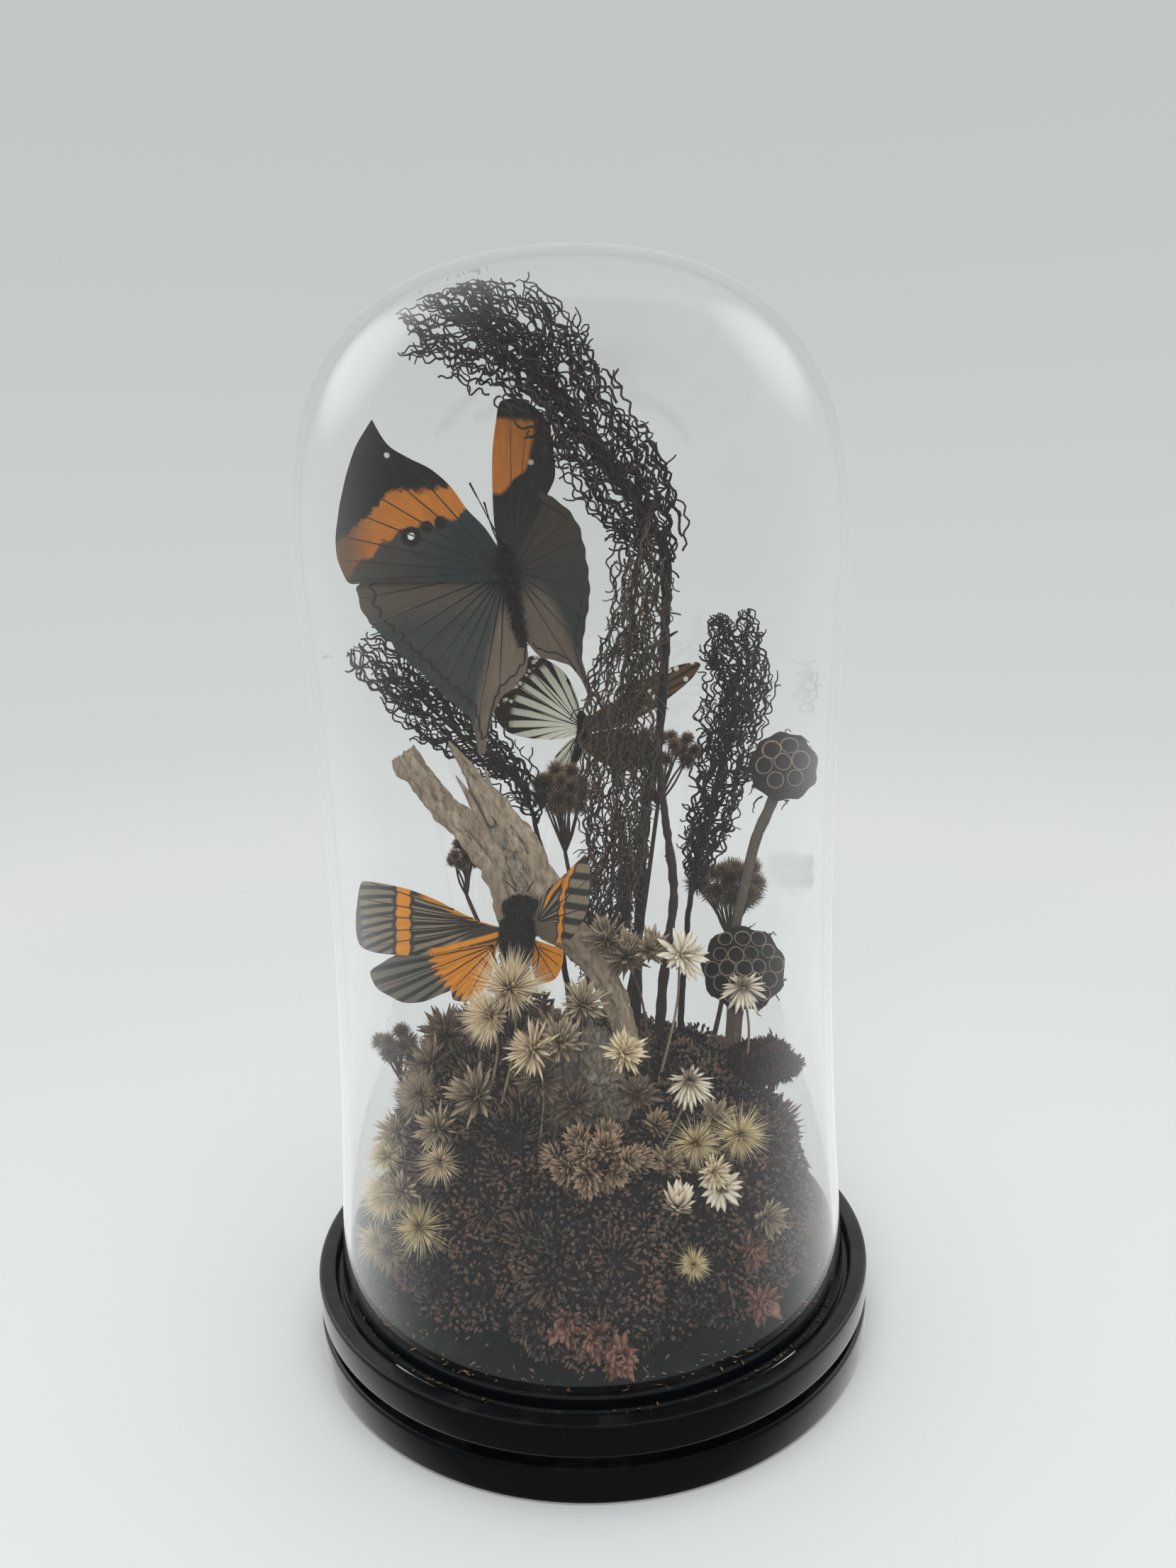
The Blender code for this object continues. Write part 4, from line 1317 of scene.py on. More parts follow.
@dataclass(frozen=True)
class Plume:
    """A flat spray of fine curly twigs that grows along a spine.

    Attributes:
        name: the piece's name.
        node: the CAD node that it stands for.
        kind: its finish.
        stations: the spine, from where it grows to its tip.
        bare: length of the stem that carries no twigs.
        twigs: how many twigs leave the stem.
        fill: how many more start among them.
        curl: how sharply the tips of twigs hook, in radians at each step.
        stem: radius of the stem at its foot and at its tip.
        fine: radius of the twigs.
        frayed: how far tips stand out past the outline.
        seed: where its source of chance starts.
        swing: how far twigs swing from side to side as they grow, in radians.
        long: length of the twigs, as a part of the usual.
        step: length of one step.
    """
    name: str
    node: str
    kind: Dried
    stations: Tuple[Station, ...]
    bare: float
    twigs: int
    fill: int
    curl: float = 0.34
    stem: Tuple[float, float] = (1.1, 0.5)
    fine: float = 0.40
    frayed: float = 1.0
    seed: int = 1
    swing: float = 0.72
    long: float = 1.0
    step: float = 1.0

    def build(self, shop: Workshop) -> None:
        """Grow the plume."""
        rng = np.random.default_rng(self.seed)
        spine = Spine(self.stations)
        heap = Heap()
        places = np.linspace(0.0, spine.length * 0.93, 60)
        sway = np.cumsum(rng.normal(0.0, 0.22, (60, 2)), axis=0)
        sway -= np.linspace(0.0, 1.0, 60)[:, None] * sway[-1] * 0.6
        sway *= np.minimum(1.0, places / 20.0)[:, None]
        line = spine.world(np.column_stack([places, sway]))
        heap.tube(line, np.linspace(self.stem[0], self.stem[1], 60), 7, 0.35, (0.1, 0.4))
        for rank in range(self.twigs):
            along = self.bare + (spine.length * 0.95 - self.bare) * (rank + rng.random()) / self.twigs
            side = 1.0 if rank % 2 else -1.0
            self.grow(heap, spine, rng, (along, 0.0, rng.normal(0.0, 0.6)), side * rng.uniform(0.15, 1.25),
                      self.long * rng.uniform(20.0, 56.0), self.fine * rng.uniform(0.9, 1.35), 0)
        for _ in range(self.fill):
            along = rng.uniform(self.bare, spine.length * 0.97)
            start = (along, rng.uniform(-0.9, 0.9) * spine.wide(along),
                     rng.uniform(-0.8, 0.8) * spine.deep(along))
            self.grow(heap, spine, rng, start, rng.normal(0.0, 0.3),
                      self.long * rng.uniform(14.0, 36.0), self.fine * rng.uniform(0.7, 1.1), 1)
        shop.heaped(self.name, heap, self.kind, self.node)

    def grow(self, heap: Heap, spine: Spine, rng: np.random.Generator, start: Vec, heading: float,
             length: float, radius: float, order: int) -> None:
        """Grow one twig and its branches.

        Args:
            heap: where the rods go.
            spine: what the twig follows.
            rng: the source of chance.
            start: (along, across, back) of its root.
            heading: its angle off the spine.
            length: how long it becomes.
            radius: its radius at the root.
            order: 0 for a twig on the stem, 1 for its branches, and so on.
        """
        along, across, back = start
        steps = max(int(length / self.step), 5)
        chances = rng.normal(0.0, 1.0, (steps, 3))
        forks = rng.random(steps)
        phase, hook = rng.uniform(0.0, math.tau), float(rng.choice([-1.0, 1.0]))
        pace = rng.uniform(0.75, 1.2) * self.step
        lean, curled, places = heading, 0.0, []
        for rank in range(steps):
            places.append((along, across, back))
            phase += pace * (1.0 + 0.25 * chances[rank, 0])
            lean += 0.10 * chances[rank, 1] - 0.085 * lean
            if steps - rank < 6:
                curled += hook * self.curl
            room = spine.wide(along) + self.frayed
            heading = lean + curled + self.swing * math.sin(phase)
            if abs(across) > room * 0.85 and across * heading > 0.0:
                lean -= math.copysign(0.3, across)
            along += math.cos(heading) * self.step
            across += math.sin(heading) * self.step
            deep = spine.deep(along)
            back = min(max(back + chances[rank, 2] * 0.25, -deep), deep)
            if along > spine.length + 8.0 or along < 0.5:
                break
            if order < 3 and rank > 1 and forks[rank] < 0.07 and length - rank * self.step > 4.0:
                away = lean + math.copysign(rng.uniform(0.45, 0.9), forks[rank] - 0.035)
                self.grow(heap, spine, rng, (along, across, back), away,
                          min(length - rank * self.step, rng.uniform(4.0, 15.0)), radius * 0.84, order + 1)
        if len(places) < 3:
            return
        line = spine.world(np.array(places))
        squeezed = np.linalg.norm(BELL.keep_inside(line, 1.2) - line, axis=1) > 0.3
        if squeezed.any():
            line = line[:int(np.argmax(squeezed))]
            if len(line) < 3:
                return
        radii = radius * np.linspace(1.0, 0.62, len(line))
        heap.tube(line, radii, 4 if order else 5, float(rng.random()), (0.1, 0.9))


@dataclass(frozen=True)
class Stem:
    """A bare stem."""
    name: str
    node: str
    kind: Dried
    stations: Tuple[Vec, ...]
    radii: Tuple[float, float]

    def build(self, shop: Workshop) -> None:
        """Bend the stem and give it knots and ridges."""
        way = bent(self.stations, 14)
        rng = np.random.default_rng(len(way))
        radii = np.linspace(*self.radii, len(way)) * (1.0 + 0.10 * rng.normal(0, 1, len(way)))
        way[1:-1, :2] += rng.normal(0.0, 0.10, (len(way) - 2, 2))
        heap = Heap()
        heap.tube(way, radii, 10, 0.4, (0.1, 0.5))
        for rank in rng.integers(4, len(way) - 4, 5):
            heading = unit(np.array([rng.normal(), rng.normal() * 0.4, 0.9]))
            stub = way[rank] + heading * np.linspace(0.0, 1.0, 4)[:, None] * rng.uniform(2.0, 4.5)
            heap.tube(stub, np.linspace(0.6, 0.25, 4), 6, 0.4)
        shop.heaped(self.name, heap, self.kind, self.node)


STEMS = (
    Stem("stem_tall", "tall_plume_stem", DARK_TWIG,
         ((14.0, 5.2, 66.0), (15.4, 5.0, 104.0), (17.0, 4.8, 129.0), (19.2, 4.8, 155.1), (23.0, 4.6, 174.5),
          (24.9, 4.0, 198.7), (25.4, 3.2, 214.4), (25.5, 2.6, 226.0)), (1.6, 1.25)),
    Stem("stem_second", "second_plume_stem", BROWN_TWIG,
         ((20.4, 10.2, 66.0), (24.0, 10.0, 104.0), (26.9, 9.8, 127.5), (24.2, 9.6, 154.1),
          (22.8, 9.4, 174.0)), (1.7, 0.9)),
)

PLUMES = (
    Plume("plume_arch", "tall_plume_arch", DARK_TWIG, (
        (25.6, 2.4, 214.0, 2.5, 1.6), (25.6, 1.4, 223.0, 6.0, 2.6), (22.0, 0.0, 232.6, 9.6, 4.4),
        (15.6, -3.2, 242.4, 11.4, 5.0), (8.8, -5.6, 252.4, 12.4, 5.4), (1.6, -8.0, 262.4, 13.2, 5.6),
        (-6.2, -9.4, 271.2, 14.6, 5.6), (-13.0, -9.0, 279.2, 15.4, 6.0), (-21.0, -8.0, 284.8, 15.6, 6.0),
        (-28.0, -7.0, 289.0, 15.2, 5.6), (-32.0, -6.5, 291.2, 15.0, 5.0)),
        3.0, 66, 118, 0.34, (1.25, 0.5), 0.38, 1.6, 11),
    Plume("plume_veil", "tall_plume_veil", BROWN_TWIG, (
        (22.0, -1.6, 240.0, 3.0, 2.0), (19.0, -4.4, 228.0, 7.6, 3.2), (16.6, -5.6, 214.0, 9.0, 4.2),
        (14.6, -6.6, 198.0, 10.0, 4.4), (12.2, -6.8, 180.0, 10.4, 4.4), (10.2, -6.8, 162.0, 9.4, 4.4),
        (9.4, -6.4, 142.0, 7.6, 4.0), (7.4, -6.0, 126.0, 5.6, 3.0), (5.6, -5.6, 112.0, 3.0, 1.2)),
        4.0, 34, 104, 0.34, (0.6, 0.35), 0.31, 0.8, 23, 0.50, 1.7),
    Plume("plume_left", "left_plume", DARK_TWIG, (
        (-3.4, 12.4, 70.0, 0.6, 0.6), (-7.0, 12.6, 118.0, 0.6, 0.6), (-12.4, 12.8, 146.0, 1.4, 1.4),
        (-17.0, 12.8, 161.0, 5.0, 2.6), (-22.6, 12.6, 168.0, 7.4, 3.6), (-34.6, 12.2, 177.4, 8.2, 4.0),
        (-46.6, 11.2, 188.6, 8.2, 4.0), (-55.6, 10.2, 199.0, 8.0, 3.6)),
        78.0, 36, 50, 0.34, (1.1, 0.45), 0.36, 1.6, 37),
    Plume("plume_right", "right_plume", DARK_TWIG, (
        (28.6, 15.4, 70.0, 1.0, 1.0), (31.0, 15.8, 106.0, 1.2, 1.2), (33.4, 16.6, 126.0, 2.4, 1.8),
        (38.0, 21.6, 142.0, 5.8, 3.6), (42.0, 26.0, 157.0, 8.4, 4.2), (46.2, 27.6, 174.0, 10.0, 4.6),
        (48.6, 27.6, 189.0, 9.0, 4.6), (47.0, 27.6, 200.0, 5.4, 3.6)),
        56.0, 46, 72, 0.36, (1.15, 0.5), 0.38, 1.2, 41),
)


# ---------------------------------------------------------------------------------------------
# Dried flowers
# ---------------------------------------------------------------------------------------------

# The darkest colour is painted shade inside the pod's cells.
POD = Dried("pod_skin", "lotus_pod", (
    (0.006, 0.004, 0.004), (0.055, 0.040, 0.031), (0.30, 0.235, 0.18)),
    1.3, 0.75, 0.2, 0.85, 0.12)
TUFT = Dried("brown_tuft", "brown_tuft", (
    (0.028, 0.019, 0.014), (0.115, 0.078, 0.054), (0.30, 0.215, 0.150)),
    2.0, 0.6, 0.35, 0.9, 0.03)
HEATHER = Dried("flower_heap", "flower_mass", (
    (0.005, 0.004, 0.005), (0.020, 0.015, 0.015), (0.080, 0.058, 0.048),
    (0.205, 0.150, 0.112), (0.240, 0.120, 0.090)),
    2.4, 0.38, 0.80, 0.9, 0.03)
# The body of the flower heap is painted near black: painted shade in the gaps between the heads.
HEAP_SHADE = Dried("heap_core_shade", "flower_mass", (
    (0.006, 0.004, 0.004), (0.018, 0.012, 0.012), (0.040, 0.026, 0.024)),
    1.5, 0.0, 0.0, 0.95, 0.6)
CREAM = Dried("cream_tuft", "cream_tuft", (
    (0.060, 0.037, 0.024), (0.48, 0.345, 0.210), (0.92, 0.76, 0.52)),
    2.0, 0.8, 0.15, 0.75, 0.02)
STRAW = Dried("straw_tuft", "cream_tuft", (
    (0.026, 0.017, 0.012), (0.175, 0.120, 0.078), (0.52, 0.41, 0.28)),
    2.0, 0.8, 0.15, 0.8, 0.02)
YELLOW = Dried("yellow_bristle", "yellow_bristle", (
    (0.100, 0.062, 0.032), (0.56, 0.41, 0.20), (0.98, 0.82, 0.50)),
    2.0, 0.8, 0.12, 0.7, 0.02)
PETAL = Dried("papery_petal", "papery_petal", (
    (0.060, 0.040, 0.026), (0.50, 0.39, 0.275), (0.95, 0.84, 0.68)),
    1.5, 0.8, 0.12, 0.65, 0.03)
SCALED = Dried("scaled_bud", "scaled_bud", (
    (0.016, 0.010, 0.007), (0.150, 0.094, 0.058), (0.47, 0.33, 0.215)),
    1.5, 0.7, 0.3, 0.8, 0.03)
CREST = Dried("velvet_crest", "cockscomb", (
    (0.012, 0.004, 0.004), (0.060, 0.016, 0.014), (0.140, 0.045, 0.035)),
    1.8, 0.5, 0.4, 0.95, 0.03)
ROSY = Dried("rosy_petal", "rosy_flower", (
    (0.045, 0.015, 0.012), (0.155, 0.056, 0.042), (0.36, 0.19, 0.14)),
    1.8, 0.6, 0.4, 0.8, 0.03)


def spread(rng: np.random.Generator, count: int) -> Array:
    """Spread directions evenly over a ball, in a random turn.

    Args:
        rng: the source of chance.
        count: how many.

    Returns:
        The unit directions, one in each row.
    """
    rank = np.arange(count) + 0.5
    height = 1.0 - 2.0 * rank / count
    turn = math.pi * (1.0 + 5.0 ** 0.5) * rank + rng.uniform(0.0, math.tau)
    flat = np.sqrt(1.0 - height ** 2)
    way = np.stack([flat * np.cos(turn), flat * np.sin(turn), height], 1)
    return unit(way + rng.normal(0.0, 0.5 / math.sqrt(count), way.shape))


@dataclass(frozen=True)
class Ring:
    """Petals or bristles that stand round a flower's axis.

    Attributes:
        shape: name of the workshop's shape.
        count: how many.
        tilt: least and greatest angle from the axis, in degrees.
        reach: least and greatest length, as a part of the flower's radius.
        wide: half width of each, in millimetres.
        start: how far from the middle each begins, as a part of the radius.
        shades: shade at the root and at the tip.
        sink: how far behind the middle they begin, as a part of the radius.
    """
    shape: str
    count: int
    tilt: Tuple[float, float]
    reach: Tuple[float, float]
    wide: float
    start: float = 0.0
    shades: Tuple[float, float] = (0.0, 1.0)
    sink: float = 0.0


class Bloom(Enum):
    """Kinds of flower head, each with the rings that make it."""
    THISTLE = (
        Ring("bristle", 430, (0, 78), (0.8, 1.45), 0.14, 0.05, (0.45, 1.0), 0.45),
        Ring("petal", 20, (20, 75), (0.5, 0.95), 0.36, 0.1, (0.25, 0.95), 0.45),
        Ring("petal", 40, (60, 130), (0.5, 0.85), 0.55, 0.1, (0.0, 0.55), 0.45))
    PAPERY = (
        Ring("petal", 40, (25, 95), (0.75, 1.25), 0.50, 0.1, (0.3, 1.05), 0.35),
        Ring("petal", 26, (0, 50), (0.45, 0.85), 0.42, 0.05, (0.2, 0.85), 0.35),
        Ring("bristle", 120, (0, 100), (0.6, 1.15), 0.13, 0.0, (0.2, 1.0), 0.35),
        Ring("scale", 26, (70, 140), (0.5, 0.8), 0.65, 0.1, (0.0, 0.4), 0.35))
    STAR = (
        Ring("bristle", 300, (0, 105), (0.55, 1.35), 0.10, 0.0, (0.35, 1.0), 0.15),
        Ring("petal", 16, (50, 110), (0.5, 0.9), 0.4, 0.0, (0.1, 0.8), 0.15))
    OPEN = (
        Ring("petal", 22, (35, 88), (0.95, 1.35), 0.85, 0.12, (0.45, 1.0), 0.2),
        Ring("petal", 18, (5, 45), (0.6, 0.95), 0.55, 0.0, (0.3, 0.9), 0.2),
        Ring("scale", 20, (85, 140), (0.5, 0.7), 0.75, 0.1, (0.0, 0.35), 0.2))
    DROOPING = (
        Ring("petal", 26, (112, 150), (1.0, 1.3), 0.62, 0.22, (0.5, 1.05), 0.0),
        Ring("petal", 18, (95, 125), (0.8, 1.1), 0.5, 0.2, (0.35, 0.95), 0.0),
        Ring("scale", 26, (20, 110), (0.35, 0.5), 0.6, 0.05, (0.0, 0.25), 0.0))
    DAISY = (
        Ring("petal", 15, (68, 84), (1.05, 1.25), 0.85, 0.15, (0.6, 1.0), 0.1),
        Ring("bud", 30, (0, 60), (0.25, 0.4), 0.35, 0.1, (0.0, 0.15), 0.0),
        Ring("scale", 12, (90, 130), (0.5, 0.7), 0.7, 0.1, (0.0, 0.4), 0.15))
    CUP = (
        Ring("petal", 18, (8, 26), (1.45, 1.85), 1.05, 0.25, (0.35, 1.0), 0.85),
        Ring("petal", 14, (26, 40), (1.2, 1.5), 0.95, 0.25, (0.2, 0.85), 0.85),
        Ring("scale", 16, (40, 75), (0.7, 0.95), 1.0, 0.2, (0.0, 0.4), 0.85))
    # Husk shades start below 0 at the root: painted shade in the gaps between the overlapping scales.
    BUD = (
        Ring("husk", 6, (2, 14), (1.25, 1.5), 0.62, 0.0, (-0.2, 0.8), 0.6),
        Ring("husk", 9, (16, 30), (1.15, 1.4), 0.74, 0.0, (-0.3, 1.0), 0.6),
        Ring("husk", 11, (30, 46), (1.05, 1.3), 0.80, 0.0, (-0.35, 1.1), 0.6),
        Ring("husk", 12, (46, 64), (0.9, 1.15), 0.80, 0.0, (-0.35, 0.9), 0.6),
        Ring("husk", 12, (64, 90), (0.7, 0.9), 0.80, 0.0, (-0.3, 0.7), 0.6))
    SEEDS = (
        Ring("petal", 44, (10, 75), (0.8, 1.25), 0.75, 0.1, (0.15, 0.85), 0.45),
        Ring("bristle", 130, (0, 60), (0.7, 1.1), 0.14, 0.0, (0.1, 0.9), 0.4),
        Ring("scale", 36, (60, 135), (0.45, 0.85), 0.8, 0.1, (0.0, 0.5), 0.4))
    ROSE = (
        Ring("curl", 16, (5, 50), (0.6, 1.1), 1.2, 0.1, (0.2, 1.0), 0.4),
        Ring("petal", 26, (30, 110), (0.7, 1.2), 1.0, 0.1, (0.1, 0.9), 0.4),
        Ring("scale", 22, (60, 130), (0.5, 0.9), 1.0, 0.1, (0.0, 0.6), 0.4))


def bloom(heap: Heap, shop: Workshop, kind: Bloom, centre: Sequence[float], radius: float,
          axis: Sequence[float], size: float = 1.0) -> None:
    """Add one flower head.

    Args:
        heap: where its petals go.
        shop: the workshop.
        kind: which flower.
        centre: its middle.
        radius: its radius.
        axis: where it faces.
        size: widths of its petals, as a part of the usual.
    """
    rng = shop.rng
    axis = unit(np.array(axis, float))
    level = unit(np.cross(axis, np.array([0.31, 0.23, 0.92])))
    other = np.cross(axis, level)
    for ring in kind.value:
        turn = math.tau * (np.arange(ring.count) + rng.uniform(-0.3, 0.3, ring.count)) / ring.count
        if ring.count > 60:
            turn = rng.uniform(0.0, math.tau, ring.count)
        tilt = np.radians(rng.uniform(*ring.tilt, ring.count))
        if ring.count > 60:
            low, high = np.cos(np.radians(ring.tilt))
            tilt = np.arccos(rng.uniform(high, low, ring.count))
        outward = level * np.cos(turn)[:, None] + other * np.sin(turn)[:, None]
        way = axis * np.cos(tilt)[:, None] + outward * np.sin(tilt)[:, None]
        across = np.cross(axis, outward)
        base = np.array(centre) - axis * (ring.sink * radius)
        reach = radius * rng.uniform(*ring.reach, ring.count)
        wide = ring.wide * size * rng.uniform(0.75, 1.2, ring.count)
        deep = wide if ring.shape in ("bristle", "bud") else wide * 0.28
        heap.add(getattr(shop, ring.shape), base + way * (ring.start * radius),
                 frames_for(way, across, wide, deep, reach), rng.random(ring.count), ring.shades)


class Mound:
    """The heap of dried flower heads that fills the foot of the bell."""
    NODES = ("flower_mass_left", "flower_mass_front", "flower_mass_right", "flower_mass_back")
    TRIES = 2600  # places tried on each node
    APART = 6.6  # mm from one flower to the next

    def __init__(self, shop: Workshop) -> None:
        """Find where the heap's open surface is.

        Args:
            shop: the workshop.
        """
        self.shop = shop
        self.flesh = {node: shop.flesh(node) for node in self.NODES + ("bark_stump",)}

    def top(self, x: float, y: float) -> float:
        """Find the heap's height.

        Args:
            x: across, to the right.
            y: back.

        Returns:
            The height of its surface there.
        """
        hits = [tree.ray_cast(Vector((x, y, 200.0)) * METRES, Vector((0.0, 0.0, -1.0)))[0]
                for node, tree in self.flesh.items() if node != "bark_stump"]
        return max([hit.z / METRES for hit in hits if hit is not None] or [24.0])

    @staticmethod
    def within(tree: BVHTree, place: Vector) -> bool:
        """Say whether a place is inside a closed solid.

        Args:
            tree: the search tree of the solid's faces.
            place: the place, in metres.

        Returns:
            True when it is.
        """
        way = Vector((0.31, -0.17, 0.93)).normalized()
        hits, start = 0, place.copy()
        while hits < 9:
            hit = tree.ray_cast(start, way)[0]
            if hit is None:
                break
            hits += 1
            start = hit + way * 1e-6
        return hits % 2 == 1

    def samples(self, node: str, count: int) -> Tuple[Array, Array]:
        """Pick places spread over one mass's open surface.

        Args:
            node: the CAD node.
            count: places to try.

        Returns:
            The places and the outward directions.
        """
        mesh = self.shop.nodes[node].data
        points = points_of(mesh) / METRES
        mesh.calc_loop_triangles()
        corners = points[np.array([tuple(face.vertices) for face in mesh.loop_triangles])]
        cross = np.cross(corners[:, 1] - corners[:, 0], corners[:, 2] - corners[:, 0])
        areas = np.linalg.norm(cross, axis=1)
        outward = unit(cross)
        rng = self.shop.rng
        picked = rng.choice(len(areas), count, p=areas / areas.sum())
        a, b = np.sqrt(rng.random(count)), rng.random(count)
        places = (corners[picked, 0] * (1 - a)[:, None] + corners[picked, 1] * (a * (1 - b))[:, None]
                  + corners[picked, 2] * (a * b)[:, None])
        outward = outward[picked]
        kept = outward[:, 2] > -0.93
        others = [tree for name, tree in self.flesh.items() if name != node]
        for rank in np.nonzero(kept)[0]:
            spot = Vector((places[rank] + outward[rank] * 1.6) * METRES)
            kept[rank] = not any(self.within(tree, spot) for tree in others)
        return places[kept], outward[kept]

    def build(self) -> None:
        """Cover each mass with heads of small buds, packed side by side."""
        shop, rng = self.shop, self.shop.rng
        for node in self.NODES:
            # The masses under the heads are painted near black, as painted shade seen between the heads.
            shop.nodes[node].data.materials.clear()
            shop.nodes[node].data.materials.append(shop.finish(HEAP_SHADE))
            places, outward = self.samples(node, self.TRIES)
            kept: List[int] = []
            for rank, place in enumerate(places):
                if not kept or np.min(np.linalg.norm(places[kept] - place, axis=1)) > self.APART:
                    kept.append(rank)
            heap = Heap()
            for rank in kept:
                self.head(heap, places[rank], outward[rank])
            loose, facing = places[::2], outward[::2]
            self.buds(heap, loose + facing * 0.2, facing, 0.9, rng.uniform(0.2, 0.5, len(loose)), (0.0, 0.6))
            shop.heaped(node.replace("flower_mass", "heather"), heap, HEATHER)
            LOG.info("%s: %d heads", node, len(kept))

    def head(self, heap: Heap, place: Array, outward: Array) -> None:
        """Add one rounded head of buds, sunk into the heap.

        Args:
            heap: where the buds go.
            place: where it sits.
            outward: the way out of the heap there.
        """
        rng = self.shop.rng
        radius = rng.uniform(4.6, 8.0)
        middle = place - outward * radius * rng.uniform(0.30, 0.62)
        kin = float(rng.choice([0.22, 0.36, 0.50, 0.66, 0.98], p=[0.24, 0.32, 0.26, 0.16, 0.02]))
        feathery = 0.6 if place[0] < -14.0 and place[2] > 50.0 else 0.05
        if rng.random() < feathery:
            kin = float(rng.uniform(0.40, 0.72))
            way = spread(rng, 112)
            way = way[way @ outward > 0.15]
            lift = unit(way + outward * 0.5 + np.array([0.0, 0.0, 0.35]))
            total = len(way)
            heap.add(self.shop.petal, middle + way * radius * 0.72,
                     frames_for(lift, np.cross(lift, way + 0.01), rng.uniform(0.35, 0.6, total),
                                np.full(total, 0.16), radius * rng.uniform(0.5, 0.85, total)),
                     np.clip(kin + rng.normal(0.0, 0.10, total), 0, 1), (0.0, 0.85))
            return
        way = spread(rng, 135)
        way = way[way @ outward > 0.30]
        kins = np.clip(kin + rng.normal(0.0, 0.10, len(way)), 0.0, 1.0)
        self.buds(heap, middle + way * (radius * rng.uniform(0.86, 1.0, len(way)))[:, None], way,
                  1.0, kins, (0.1, 1.0))

    def buds(self, heap: Heap, places: Array, way: Array, size: float, kins: Array,
             shades: Tuple[float, float]) -> None:
        """Add small buds that point about the given way."""
        rng = self.shop.rng
        total = len(places)
        lean = unit(way + rng.normal(0.0, 0.45, way.shape))
        wide = rng.uniform(0.65, 1.05, total) * size
        heap.add(self.shop.bud, places, frames_for(lean, rng.normal(0.0, 1.0, way.shape), wide, wide * 0.75,
                                                   rng.uniform(1.3, 2.3, total) * size), kins, shades)


@dataclass(frozen=True)
class Head:
    """A flower head: its CAD node, kind, finish, middle, radius, facing and the foot of its stalk."""
    node: str
    kind: Bloom
    finish: Dried
    centre: Vec
    radius: float
    axis: Vec
    foot: Optional[Tuple[float, float]] = None

    def build(self, shop: Workshop, mound: Mound) -> None:
        """Make the head and its stalk."""
        heap = Heap()
        bloom(heap, shop, self.kind, self.centre, self.radius, self.axis)
        middle = np.array(self.centre)
        facing = unit(np.array(self.axis))
        wide, tall = np.array([self.radius * 0.28]), np.array([self.radius * 0.5])
        heap.add(shop.bud, middle[None, :] - facing * self.radius * 0.55,
                 frames_for(facing[None, :], np.array([[1.0, 0.2, 0.1]]), wide, wide, tall),
                 np.array([0.4]), (0.0, 0.2))
        if self.foot is not None:
            low = (self.foot[0], self.foot[1], mound.top(*self.foot) - 6.0)
            start = middle - facing * self.radius * 0.4
            bow = (start * 0.6 + np.array(low) * 0.4) + np.array([2.2, 5.0, -1.0])
            way = bent((start, bow, low), 10)
            heap.tube(way, np.linspace(0.30, 0.42, len(way)), 6, 0.4, (0.15, 0.30))
        stands_for = (self.node,) if self.node in shop.nodes else ()
        shop.heaped(self.node + "_head", heap, self.finish, *stands_for)


